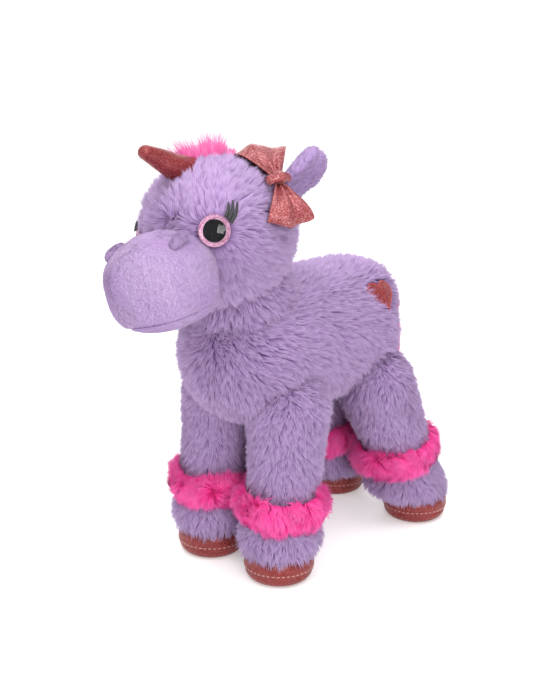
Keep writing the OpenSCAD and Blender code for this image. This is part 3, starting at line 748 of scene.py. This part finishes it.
def band(leg, seed):
    """Long-pile band: a rounded ring of backing with bent strands that stand out and droop."""
    place = band_frame(leg)
    a = np.linspace(0, 2 * math.pi, 22, endpoint=False)
    profile = np.stack([BAND_R + 3.5 * MM * np.cos(a), 8.0 * MM * np.sin(a)], -1)
    turn = np.linspace(0, 2 * math.pi, 90, endpoint=False)
    ring = np.stack([np.outer(np.cos(turn), profile[:, 0]), np.outer(np.sin(turn), profile[:, 0]),
                     np.outer(np.ones(90), profile[:, 1])], -1)
    grid = place["centre"] + ring @ place["axes"].T
    i, j = np.meshgrid(np.arange(90), np.arange(22), indexing="ij")
    i_next, j_next = (i + 1) % 90, (j + 1) % 22
    quads = np.stack([i * 22 + j, i_next * 22 + j, i_next * 22 + j_next, i * 22 + j_next], -1).reshape(-1, 4)
    backing = make_mesh(leg + "_band_backing", grid.reshape(-1, 3), quads, leg + "_leg", SHADED_PINK_BACK)
    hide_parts(leg + "_fur_band")
    rng = np.random.default_rng(seed)
    count = 11800
    u, v = rng.random(count) * 2 * math.pi, (rng.random(count) - 0.5) * 2.6
    spoke = np.cos(u)[:, None] * place["axes"][:, 0] + np.sin(u)[:, None] * place["axes"][:, 1]
    up = place["axes"][:, 2]
    normals = np.cos(v)[:, None] * spoke + np.sin(v)[:, None] * up
    reach, rise = BAND_R + 3.3 * MM * np.cos(v), 7.8 * MM * np.sin(v)
    roots = place["centre"] + spoke * reach[:, None] + up * rise[:, None]
    sway = soft_noise(roots, 22 * MM, seed)[:, None]
    flow = tangent(np.array([0, 0, -0.6]), normals) + sway * 1.3 * np.cross(normals, up)
    flow = flow + soft_noise(roots, 30 * MM, seed + 1)[:, None] * 0.8 * up
    tone = 0.5 + 0.4 * soft_noise(roots, 28 * MM, 14)
    pile(leg + "_band_pile", roots, normals, flow, leg + "_leg", PINK, 14.0 * MM, 0.36 * MM, 0.95,
         lock=5.5 * MM, gather=0.25, bent=True, tint=tone, ragged=0.3, seed=seed)


def hoof(leg):
    """Stuffed toe cap on a rounded sole, with a line of top-stitching; both profiles are turned about Z."""
    sole = middle(leg + "_hoof_sole")
    centre = np.array([sole[0], sole[1], 0.0])
    a = np.linspace(0, math.pi / 2, 12)
    edge = np.stack([(15.5 + 8.6 * np.sin(a)) * MM, (7.6 - 7.6 * np.cos(a)) * MM], -1)
    low = np.stack([np.linspace(1, 15.0, 8) * MM, np.zeros(8)], -1)
    high = np.stack([np.linspace(22.5, 1, 6) * MM, np.full(6, 7.9 * MM)], -1)
    grid = revolve(np.concatenate([low, edge, high]), centre, np.eye(3), 96)
    padded_piece(leg + "_sole_cloth", grid, leg + "_leg", HOOF_GLITTER, 0.8, leg + "_hoof_sole")
    t = np.linspace(0, 1, 26)
    r = 24.2 + 0.7 * np.sin(math.pi * np.clip(t * 1.6, 0, 1)) - 5.6 * np.clip(t * 2 - 1, 0, 1) ** 2
    side = np.stack([r * MM, (7.2 + 15.4 * t) * MM], -1)
    floor = np.stack([np.linspace(2, 22.5, 6) * MM, np.full(6, 7.0 * MM)], -1)
    top = np.stack([np.linspace(17, 2, 6) * MM, np.full(6, 22.8 * MM)], -1)
    grid = revolve(np.concatenate([floor, side, top]), centre, np.eye(3), 96)
    spoke = unit((grid - centre) * [1, 1, 0])
    crease = soft_noise(grid, 18 * MM, 15) * 0.35 * MM
    padded_piece(leg + "_hoof_cap", grid + spoke * crease[..., None], leg + "_leg", HOOF_GLITTER, 0.8,
                 leg + "_hoof_upper")
    turn = np.arange(STITCHES) * 2 * math.pi / STITCHES
    radius, rise = 24.9 * MM, np.full(STITCHES, 10.4 * MM)
    spot = centre + np.stack([radius * np.cos(turn), radius * np.sin(turn), rise], -1)
    along = np.stack([-np.sin(turn), np.cos(turn), np.zeros(STITCHES)], -1)
    out = np.stack([np.cos(turn), np.sin(turn), np.zeros(STITCHES)], -1)
    ends = np.array([-1.15, -0.6, 0.6, 1.15])[None, :, None] * MM
    thick = np.array([0.12, 0.4, 0.4, 0.12])[None, :, None, None] * MM
    b = np.arange(6)[None, None, :, None] * math.pi / 3
    ring = np.cos(b) * out[:, None, None] + np.sin(b) * np.array([0, 0, 1.0])
    points = (spot[:, None] + ends * along[:, None])[:, :, None] + thick * ring
    first, last = points[:, 0].mean(1)[:, None], points[:, 3].mean(1)[:, None]
    caps = np.concatenate([points.reshape(STITCHES, 24, 3), first, last], 1)
    faces = (closed_faces(4, 6)[None] + np.arange(STITCHES)[:, None, None] * 26).reshape(-1, 3)
    make_mesh(leg + "_hoof_stitching", caps.reshape(-1, 3), faces, leg + "_leg", PALE_THREAD)


def legs():
    for k, leg in enumerate(LEGS):
        hip, ankle, grid = leg_skin(leg)
        padded_piece(leg + "_leg_skin", grid, leg + "_leg", SHADED_LAVENDER_BACK, 0.9,
                     leg + "_leg_cover", leg + "_leg_stuffing")
        leg_pile(leg, hip, ankle, grid, 60 + k)
        band(leg, 70 + k)
        hoof(leg)


# ---- head ----------------------------------------------------------------

def head():
    """The head's skin and pile. The pile parts at the eyes and runs back and down from the muzzle."""
    r = HEAD_R - PILE_DEPTH
    grid = revolve(ball_profile(r), HEAD_C, HEAD, 110)
    out = unit(grid - HEAD_C)
    grid = grid + out * soft_noise(grid, 50 * MM, 21)[..., None] * 0.9 * MM
    padded_piece("head_skin", grid, "head", SHADED_LAVENDER_BACK, 0.9,
                 "head_left_panel", "head_right_panel", "head_gusset", "head_stuffing")
    horn = joint_at("horn_flex")
    for part, seed in (("left", 81), ("right", 82)):
        roots, normals = scatter(grid, 64000, np.random.default_rng(seed))
        local = head_frame(roots)
        keep = (local[:, 0] > 0) == (part == "left")
        keep &= ~inside_muzzle(roots, -2 * MM)
        keep &= np.linalg.norm(roots - horn, axis=1) > 9 * MM
        keep &= np.linalg.norm(roots - NECK, axis=1) > 27 * MM
        for way in EYES.values():
            beside = np.linalg.norm(np.cross(roots - HEAD_C, way), axis=1) > 10.2 * MM
            keep &= beside | ((roots - HEAD_C) @ way < 0)
        roots, normals, local = roots[keep], normals[keep], local[keep]
        back = np.array([0, 1.0, 0]) * 0.9 + np.array([0, 0, -1.0]) * 0.75
        flow = unit(tangent(np.broadcast_to(HEAD @ back, roots.shape), normals))
        crown = np.clip((local[:, 2] - 2 * MM) / (24 * MM), 0, 1)[:, None]
        flow = unit(flow * (1 - crown) + crown * tangent(HEAD @ np.array([0, 1.0, 0.2]), normals))
        long = np.full(len(roots), 11.5 * MM)
        lean = np.full(len(roots), 0.78)
        for way in (EYES["left"],):
            eye = HEAD_C + way * r
            away = roots - eye
            distance = np.linalg.norm(away, axis=1)
            near = np.exp(-((distance - 10 * MM) / (14 * MM)) ** 2)[:, None]
            flow = unit(flow + 2.2 * near * unit(tangent(away, normals)))
            long -= 4.5 * MM * np.exp(-((distance - 10 * MM) / (5 * MM)) ** 2)
            lean += 0.30 * np.exp(-((distance - 10 * MM) / (6 * MM)) ** 2)
        flow += soft_noise(roots, 40 * MM, 22)[:, None] * np.cross(normals, flow) * 0.4
        tone = 0.55 + 0.2 * soft_noise(roots, 60 * MM, 23)
        pile("head_pile_" + part, roots, normals, flow, "head", LAVENDER, long, 0.54 * MM, lean,
             lock=3.3 * MM, gather=0.4, tint=tone, seed=seed)


def muzzle():
    """Smooth stuffed muzzle: a squarish ball, fuller below in front, with a groove and a lip at the mouth.

    Across and along it is 36.3 times cos a to the power 2/2.3. Up it is 31 times sin a to the same power,
    and up to a tenth more below, in front.
    """
    a = np.linspace(-math.pi / 2 + 0.02, math.pi / 2 - 0.02, 130)
    turn = np.linspace(0, 2 * math.pi, 160, endpoint=False)
    across = np.outer(np.cos(a) ** (2 / SQUARE), np.ones(160))
    up = np.outer(np.sign(np.sin(a)) * np.abs(np.sin(a)) ** (2 / SQUARE), np.ones(160))
    x, y, z = across * np.cos(turn) * 36.3 * MM, across * np.sin(turn) * 36.3 * MM, up * 31.0 * MM
    front = np.clip(-y / (30 * MM), 0, 1)
    z = z * (1 + 0.10 * front * (z < 0))
    mouth = mouth_height(x, y)
    shown = np.clip((18 * MM - y) / (10 * MM), 0, 1)
    groove = np.exp(-((z - mouth) / (1.1 * MM)) ** 2) * shown
    lip = np.clip((mouth - z) / (3 * MM), 0, 1) * shown
    local = np.stack([x, y, z], -1)
    out = unit(local)
    local = local - out * (1.6 * MM * groove + 1.0 * MM * lip)[..., None]
    local = local + out * soft_noise(local, 38 * MM, 31)[..., None] * 0.9 * MM
    padded_piece("muzzle_skin", MUZZLE_C + local @ HEAD.T, "head", MUZZLE_NAP, 0.9,
                 "muzzle_cover", "chin_panel")
    roots, normals = scatter(MUZZLE_C + local @ HEAD.T, 34000, np.random.default_rng(32))
    keep = np.linalg.norm(roots - HEAD_C, axis=1) > HEAD_R - 2 * MM
    roots, normals = roots[keep], normals[keep]
    flow = tangent(HEAD @ np.array([0, 0.6, -1.0]), normals)
    flow += soft_noise(roots, 20 * MM, 38)[:, None] * np.cross(normals, unit(flow)) * 0.8
    # painted shade: wide patches of tone mix the muzzle pile towards its darker purple, standing in for the
    # shade of dimples and creases
    tone = 0.46 + 0.55 * np.clip(soft_noise(roots, 30 * MM, 39), -0.6, 1)
    pile("muzzle_pile", roots, normals, flow, "head", MUZZLE_PILE, 1.7 * MM, 0.28 * MM, 1.05,
         lock=3.2 * MM, gather=0.05, tint=tone, ragged=0.3, seed=33)
    turn = np.linspace(-math.pi * 0.97, math.pi * -0.03, 140)
    cx, cy = np.cos(turn), np.sin(turn)
    r = np.full(140, 24.0 * MM)
    for _ in range(6):
        level = mouth_height(r * cx, r * cy)
        high = level / (31.0 * MM * (1 + 0.10 * np.clip(-r * cy / (30 * MM), 0, 1)))
        r = 36.3 * MM * np.maximum(1 - np.abs(high) ** SQUARE, 0.05) ** (1 / SQUARE)
    path = np.stack([r * cx, r * cy, level], -1)
    path = path - unit(path) * 1.0 * MM
    thread = tube(MUZZLE_C + path @ HEAD.T, 0.75 * MM, HEAD[:, 2], 8)
    seam = closed_piece("mouth_seam", thread, "head", PURPLE_THREAD)
    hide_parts("mouth_stitching")


def mouth_height(x, y):
    """Height of the mouth line below the muzzle's middle: lowest in front, higher towards the back."""
    return (-25.0 + 6.0 * np.clip((y / MM + 26) / 40, 0, 1) ** 1.3) * MM


def nostril_tabs():
    """Two folded tabs: thick flattened tubes with round ends that lie over the muzzle's front edge."""
    for name, side in (("left", 1.0), ("right", -1.0)):
        t = np.linspace(0, 1, 30)
        y, x = 1.5 - 16 * t, 25.5 + 2.5 * t
        z = 31.0 * np.maximum(1 - (np.hypot(x, y) / 36.3) ** SQUARE, 0.02) ** (1 / SQUARE)
        path = np.stack([side * (x + 1.2), y, z + 2.0], -1)
        r = 4.1 * np.sqrt(np.clip(1 - np.abs(2 * t - 1) ** 3.4, 0.02, 1)) * MM
        grid = tube(in_head(path + [0, -61.5, -21]), r, HEAD @ np.array([side, 0, 0.4]), 30, 0.85)
        piece = closed_piece("nostril_tab_" + name, grid, "head", MUZZLE_NAP)
        if side > 0:
            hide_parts("nostril_tabs")
        roots, normals = scatter(grid, 2200, np.random.default_rng(34))
        flow = tangent(HEAD @ np.array([0, -0.3, -1.0]), normals)
        pile("nostril_pile_" + name, roots, normals, flow, "head", MUZZLE_PILE,
             1.7 * MM, 0.28 * MM, 0.9, lock=2 * MM, gather=0.1, tint=0.5, ragged=0.3, seed=35)


def horn():
    """Glitter horn: a cone that bends a little and ends in a ball, its cloth drawn in soft wrinkles."""
    lean = math.radians(60)
    c, s = math.cos(lean), math.sin(lean)
    axes = HEAD @ np.array([[1, 0, 0], [0, c, -s], [0, s, c]])
    root = joint_at("horn_flex") + HEAD[:, 2] * 2.5 * MM
    a = np.linspace(0, math.pi / 2 - 0.04, 16)
    t = np.linspace(0, 1, 44)
    side = np.stack([(12.2 - 7.2 * t ** 0.8) * MM, (-6 + 39.5 * t) * MM], -1)
    cap = np.stack([5.0 * np.cos(a) * MM, (33.5 + 5.0 * np.sin(a)) * MM], -1)
    grid = revolve(np.concatenate([[[2 * MM, -6 * MM]], side, cap[1:]]), root, axes, 72)
    local = (grid - root) @ axes
    turn = np.arctan2(local[..., 1], local[..., 0])
    up = local[..., 2]
    wrinkle = 0.35 * np.sin(2 * turn + up / (4 * MM)) + 0.3 * soft_noise(local, 11 * MM, 33)
    spoke = unit(local * [1, 1, 0])
    bend = (np.clip(up, 0, None) / (34 * MM)) ** 2 * 1.5 * MM
    local = local + spoke * (wrinkle * MM * np.clip(1 - up / (40 * MM), 0.2, 1))[..., None]
    local[..., 1] -= bend
    padded_piece("horn_cloth", root + local @ axes.T, "horn", RED_GLITTER, 0.9,
                 "horn_cover", "horn_stuffing")


def forelock():
    """Shaggy tuft: a low cap of backing on the crown and long bent strands that fan up and back."""
    centre = in_head([0, 5, 50])
    axes = frame_along(unit(centre - HEAD_C), HEAD[:, 0])
    cap = revolve(ball_profile(11 * MM, 30) * [1, 0.4], HEAD_C + axes[:, 2] * (HEAD_R - 5 * MM), axes, 48)
    padded_piece("forelock_backing", cap, "head", SHADED_PINK_BACK, 0.6, "forelock")
    rng = np.random.default_rng(90)
    count = 11000
    r, a = 15.5 * MM * np.sqrt(rng.random(count)), rng.random(count) * 2 * math.pi
    local = np.stack([r * np.cos(a), r * np.sin(a) * 1.15, np.zeros(count)], -1)
    way = unit(np.stack([local[:, 0], local[:, 1], np.full(count, 19 * MM)], -1))
    roots = HEAD_C + unit(axes[:, 2] * (HEAD_R - 4 * MM) + local @ axes.T) * (HEAD_R - 4 * MM)
    normals = way @ axes.T
    flow = tangent(HEAD @ np.array([-0.2, 0.7, 0.2]), normals)
    flow += soft_noise(roots, 20 * MM, 34)[:, None] * np.cross(normals, unit(flow))
    stray = rng.random(count) ** 6
    length = (19 - 6 * r / (15.5 * MM) + 14 * stray * (local[:, 1] < 0)) * MM
    tone = 0.42 + 0.3 * soft_noise(roots, 18 * MM, 35) + 0.4 * stray
    pile("forelock_pile", roots, normals, flow, "head", PINK_PALE, length, 0.26 * MM, 0.25,
         lock=6 * MM, gather=0.3, bent=True, tint=tone, ragged=0.35, seed=91)


def eyes():
    """Domed eyes: glitter disc and pupil keep their CAD shape under a dome that is flatter in the middle."""
    for side in ("left", "right"):
        axes = frame_along(EYES[side], HEAD[:, 2])
        base = max((middle(node + side) - HEAD_C) @ EYES[side] for node in ("eye_iris_", "eye_pupil_"))
        r = np.concatenate([np.linspace(2, 9.6, 8), np.full(3, 10.05), np.linspace(10.0, 0.4, 30)])
        top = 0.6 + 1.1 * (1 - (r[11:] / 10.0) ** 12) - r[11:] ** 2 / 75 + 1.3
        z = np.concatenate([np.zeros(8), [0.1, 0.3, 0.5], top])
        grid = revolve(np.stack([r, z], -1) * MM, HEAD_C + EYES[side] * (base + 0.35 * MM), axes, 72)
        dome = closed_piece("eye_dome_" + side, grid, "head", CLEAR)
        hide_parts("eye_lens_" + side)
        for node, material in (("eye_iris_", IRIS), ("eye_pupil_", PUPIL)):
            mesh = frame["nodes"][node + side].data
            mesh.materials.clear()
            mesh.materials.append(material)
        lashes(side)
    for node in ("eye_posts", "eye_washers"):
        frame["nodes"][node].data.materials.clear()
        frame["nodes"][node].data.materials.append(WHITE_PLASTIC)


def lashes(side):
    """Three stitched lashes: tapered tubes that curve up and back from the eye's upper rear edge."""
    way = EYES[side]
    back = unit(tangent(HEAD[:, 1], way[None])[0])
    up = unit(tangent(HEAD[:, 2], way[None])[0])
    origin = HEAD_C + way * (HEAD_R + 1.6 * MM)
    t = np.linspace(0, 1, 18)[:, None]
    for k, (root, bend, tip) in enumerate((((8.6, 6.2), (12.0, 9.4), (12.2, 14.6)),
                                           ((10.0, 4.2), (14.4, 7.6), (15.2, 15.2)),
                                           ((11.2, 2.0), (16.2, 5.4), (17.8, 13.4)))):
        flat = (1 - t) ** 2 * np.array(root) + 2 * t * (1 - t) * np.array(bend) + t ** 2 * np.array(tip)
        drop = (flat ** 2).sum(axis=1) * MM * MM / (2 * HEAD_R)
        path = origin + (flat[:, :1] * back + flat[:, 1:] * up) * MM - way * (drop - 1.2 * MM)[:, None]
        radii = (1.35 - 0.75 * t[:, 0] ** 2) * MM
        piece = closed_piece(f"lash_{side}_{k + 1}", tube(path, radii, way, 8), "head", BLACK_THREAD)
        if k == 0:
            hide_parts("eyelashes_" + side)


# ---- ears and bow --------------------------------------------------------

def ear(side):
    """A thick folded ear: a round leaf, cupped along its length, with a dimple between two lobes."""
    body = "ear_" + side
    x = joint_axis(f"ear_{side}_fold")
    root = joint_at(f"ear_{side}_fold")
    lining = middle(f"ear_{side}_lining")
    outer = middle(f"ear_{side}_outer")
    along = unit(np.mean([lining, outer], axis=0) - root)
    front = unit(lining - outer)
    front = unit(front - along * (front @ along) - x * (front @ x))
    along = unit(np.cross(front, x)) * np.sign(np.cross(front, x) @ along)
    inward = np.sign(x @ HEAD[:, 2]) * math.radians(18)
    c, s = math.cos(inward), math.sin(inward)
    along, x = along * c + x * s, x * c - along * s
    t = np.linspace(0.0, 1.0, 54)
    turn = np.linspace(0, 2 * math.pi, 60, endpoint=False)
    wide = (8.5 + 6.5 * np.clip(t / 0.5, 0, 1) ** 0.8) * np.sqrt(np.clip(1 - t ** 6, 0.0, 1)) + 0.15
    thick = (4.6 + 2.4 * t) * np.sqrt(np.clip(1 - t ** 5, 0.0, 1)) + 0.1
    across = wide[:, None] * np.cos(turn)
    deep = thick[:, None] * np.sin(turn)
    cup = 0.022 * across ** 2 * (0.4 + t[:, None])
    above, risen = np.clip(np.sin(turn), 0, 1), np.clip(2.2 * t[:, None] - 0.2, 0, 1)
    dimple = 5.0 * np.exp(-(across / 3.4) ** 2) * above * risen
    notch = 4.5 * np.exp(-(across / 3.6) ** 2) * t[:, None] ** 5
    rise = 40.0 * t[:, None] * np.ones(60) - 9.0 - notch
    local = across[..., None] * x + (deep + cup - dimple)[..., None] * front + rise[..., None] * along
    grid = root + local * MM
    padded_piece(f"ear_{side}_skin", grid, body, LAVENDER_NAP, 0.7,
                 f"ear_{side}_outer", f"ear_{side}_lining")
    roots, normals = scatter(grid, 9000, np.random.default_rng(95))
    flow = tangent(along, normals)
    pile(f"ear_{side}_pile", roots, normals, flow, body, LAVENDER_EAR, 3.6 * MM, 0.42 * MM, 0.85,
         lock=2.6 * MM, gather=0.3, tint=0.6, seed=96)


def bow_axes():
    """The bow's frame: Z outward, X along the loops towards the lower one."""
    out = joint_axis("bow_twist")
    v = HEAD.T @ out
    polar, azimuth = math.acos(v[2]), math.atan2(v[1], v[0])
    tip = np.array([[math.cos(polar), 0, math.sin(polar)], [0, 1, 0], [-math.sin(polar), 0, math.cos(polar)]])
    return HEAD @ turn_z(math.degrees(azimuth)) @ tip @ turn_z(-32)


def bow():
    """Glitter bow: two hollow loops and a knot of twisted cloth.

    Each loop is a cloth band that goes out and comes back, pleated where the knot draws it in.
    """
    face = math.radians(34)
    stand = np.array([[1, 0, 0], [0, math.cos(face), -math.sin(face)], [0, math.sin(face), math.cos(face)]])
    axes = bow_axes()
    axes = max((axes @ stand, axes @ stand.T), key=lambda m: m[:, 2] @ -HEAD[:, 1])
    origin = joint_at("bow_twist") + unit(joint_at("bow_twist") - HEAD_C) * 6.0 * MM + axes[:, 0] * 7.5 * MM
    origin = origin - np.array([3.0, 2.7, 0]) * MM
    loops = (("lower", 1.0, 12.5, 28.0, 0.7), ("upper", -1.0, 15.5, 33.0, 0.05))
    for name, side, wide, reach_mm, bend in loops:
        u = np.linspace(0, 1, 90)[:, None]
        v = np.linspace(-1, 1, 60)[None, :]
        reach = np.sin(math.pi * u) ** 0.7
        half = 3.4 + wide * reach
        pleat = np.cos(v * 8.0 + 0.8 * side) * 1.5 * (1 - reach) + np.cos(v * 4.2 + side) * 1.2 * reach
        crease = 1.2 * np.exp(-((v - 0.25 + 0.5 * u) / 0.16) ** 2) * reach
        x = 3.6 + reach_mm * reach * (1 - 0.14 * v ** 2) + 1.2 * np.cos(5 * v + side) * reach
        y = half * v
        depth = 2.0 + 5.0 * np.sin(math.pi * u) ** 0.6 * (1 - 0.25 * v ** 2)
        z = np.cos(math.pi * u) * depth + pleat - crease
        fall = (x ** 2) / (2 * HEAD_R / MM) * bend
        local = np.stack([side * x, y * side, z - fall], -1) * MM
        grid = origin + local @ axes.T
        piece = cloth(f"bow_loop_{name}", grid, 0.7 * MM, "bow", BOW_GLITTER)
        if side > 0:
            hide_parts("bow_loops")
    t = np.linspace(0, 1, 50)
    y = -8.5 + 17 * t
    path = np.stack([0.8 * np.sin(5 * t), y, 6.0 - 0.055 * y ** 2], -1) * MM
    radii = (4.0 + 0.6 * np.cos(12 * t)) * np.sqrt(np.clip(1 - np.abs(2 * t - 1) ** 5, 0.02, 1)) * MM
    grid = tube(origin + path @ axes.T, radii, axes[:, 0], 48, 0.8)
    turn = np.linspace(0, 2 * math.pi, 48, endpoint=False)
    centre = grid.mean(axis=1, keepdims=True)
    twist = np.cos(6 * turn[None, :] + 5 * t[:, None])[..., None]
    padded_piece("bow_knot_cloth", centre + (grid - centre) * (1 + 0.08 * twist), "bow", BOW_GLITTER, 0.5,
                 "bow_knot")


def cloth(name, grid, thickness, body, material):
    """A cloth from an open grid, given its thickness both ways from the grid, with closed edges."""
    rows = len(grid)
    du, dv = np.gradient(grid, axis=0), np.gradient(grid, axis=1)
    normal = unit(np.cross(du, dv))
    top, low = grid + normal * thickness / 2, grid - normal * thickness / 2
    loop = np.stack([np.concatenate([top[i], low[i][::-1]]) for i in range(rows)])
    return closed_piece(name, loop, body, material)


# ---- tail ----------------------------------------------------------------

def tail():
    """Shaggy tail on a stub that reaches into the body: a soft core with long bent strands that hang down."""
    top = joint_at("tail_lift")
    low = middle("tail_pile")
    way = unit(low - top)
    axes = frame_along(way, np.array([1.0, 0, 0]))
    rearward = np.stack([[1.0, 0, 0], [0, 0, -1.0], [0, 1.0, 0]], axis=1)
    length = 17 * MM
    stub = revolve(capsule_profile(7.5 * MM, 6.4 * MM, length), top - np.array([0, length, 0]), rearward, 40)
    padded_piece("tail_root_cloth", stub, "tail_base", SHADED_PINK_BACK, 0.8, "tail_root")
    core = revolve(capsule_profile(5.2 * MM, 4.2 * MM, 54 * MM), top + way * 4 * MM, axes, 36)
    padded_piece("tail_backing", core, "tail", SHADED_PINK_BACK, 0.7, "tail_core", "tail_pile")
    roots, normals = scatter(core, 7000, np.random.default_rng(97))
    flow = np.broadcast_to(way, roots.shape) + soft_noise(roots, 20 * MM, 36)[:, None] * axes[:, 0] * 0.2
    tone = 0.5 + 0.3 * soft_noise(roots, 30 * MM, 37)
    pile("tail_pile_strands", roots, normals, flow, "tail", PINK, 15 * MM, 0.4 * MM, 1.22,
         lock=5 * MM, gather=0.4, bent=True, tint=tone, ragged=0.3, seed=98)


# ---- light and camera ----------------------------------------------------

def soft_box(name, way, distance, size, power, aim):
    """A square area light of a given size, at a distance along a direction, turned to its aim."""
    data = bpy.data.lights.new(name, "AREA")
    data.size, data.energy = size, power
    lamp = bpy.data.objects.new(name, data)
    bpy.context.scene.collection.objects.link(lamp)
    place = aim + unit(way) * distance
    lamp.location = place
    turned = frame_along(place - aim, np.array([0.3, 0.2, 1.0]))
    lamp.rotation_mode = "QUATERNION"
    lamp.rotation_quaternion = Matrix(turned.tolist()).to_quaternion()


def studio():
    """A pale floor that sweeps up into a pale backdrop, a pale surround and soft lights."""
    floor_material, nodes, links, shader = new_material("pale_floor", 0.9)
    shader.inputs["Specular IOR Level"].default_value = 0.1
    place = nodes.new("ShaderNodeTexCoord").outputs["Object"]
    cloud = noise_node(nodes, links, place, 3.0)
    colour = mix_node(nodes, links, cloud, (0.90, 0.90, 0.90), (0.93, 0.93, 0.93))
    links.new(colour, shader.inputs["Base Color"])
    shader.inputs["Emission Color"].default_value = (1.0, 1.0, 1.0, 1.0)
    shader.inputs["Emission Strength"].default_value = 0.28
    bend = np.linspace(0, math.pi / 2, 24)
    run = np.concatenate([[-2.5], 1.6 + 0.9 * np.sin(bend), [2.5]])
    rise = np.concatenate([[0.0], 0.9 - 0.9 * np.cos(bend), [4.0]])
    turn = math.radians(42.34)
    away, side = np.array([-math.sin(turn), math.cos(turn), 0]), np.array([math.cos(turn), math.sin(turn), 0])
    line = run[:, None] * away + rise[:, None] * np.array([0, 0, 1.0])
    points = np.stack([line - 3.5 * side, line + 3.5 * side], 1).reshape(-1, 3)
    k = np.arange(len(run) - 1)[:, None] * 2
    floor = make_mesh("floor", points, k + np.array([[0, 1, 3, 2]]), None, floor_material)
    world = bpy.data.worlds.new("surround")
    world.use_nodes = True
    world.node_tree.nodes["Background"].inputs["Color"].default_value = (1.0, 1.0, 1.0, 1.0)
    world.node_tree.nodes["Background"].inputs["Strength"].default_value = 0.50
    bpy.context.scene.world = world
    bpy.context.scene.view_settings.view_transform = "Standard"
    aim = np.array([0.0, 0.0, 0.15])
    soft_box("key_light", np.array([0.25, -0.2, 1.0]), 1.3, 1.3, 20.0, aim)
    soft_box("window_light", np.array([0.81, -0.59, 0.37]), 1.8, 0.5, 13.0, aim)
    soft_box("fill_light", np.array([-0.6, -0.85, 0.25]), 1.7, 0.9, 5.0, aim)
    soft_box("rim_light", np.array([-0.9, 0.8, 1.0]), 1.3, 0.8, 4.0, aim)


def camera():
    """The camera looks down a little from the front left, as the display pose is seen."""
    azimuth, rise, distance = math.radians(42.34), math.radians(16.38), 0.9
    look_at = np.array([-0.0145, 0.0234, 0.1443])
    back = np.array([math.sin(azimuth) * math.cos(rise), -math.cos(azimuth) * math.cos(rise), math.sin(rise)])
    data = bpy.data.cameras.new("camera")
    data.sensor_width = 36.0
    data.lens = 62.54
    data.clip_start, data.clip_end = 0.02, 20.0
    shot = bpy.data.objects.new("camera", data)
    bpy.context.scene.collection.objects.link(shot)
    shot.location = look_at + back * distance
    shot.rotation_mode = "QUATERNION"
    shot.rotation_quaternion = Vector(-back).to_track_quat("-Z", "Y")
    bpy.context.scene.camera = shot


camera()
torso()
neck()
hearts()
legs()
head()
muzzle()
nostril_tabs()
horn()
forelock()
eyes()
for ear_side in ("left", "right"):
    ear(ear_side)
bow()
tail()
studio()
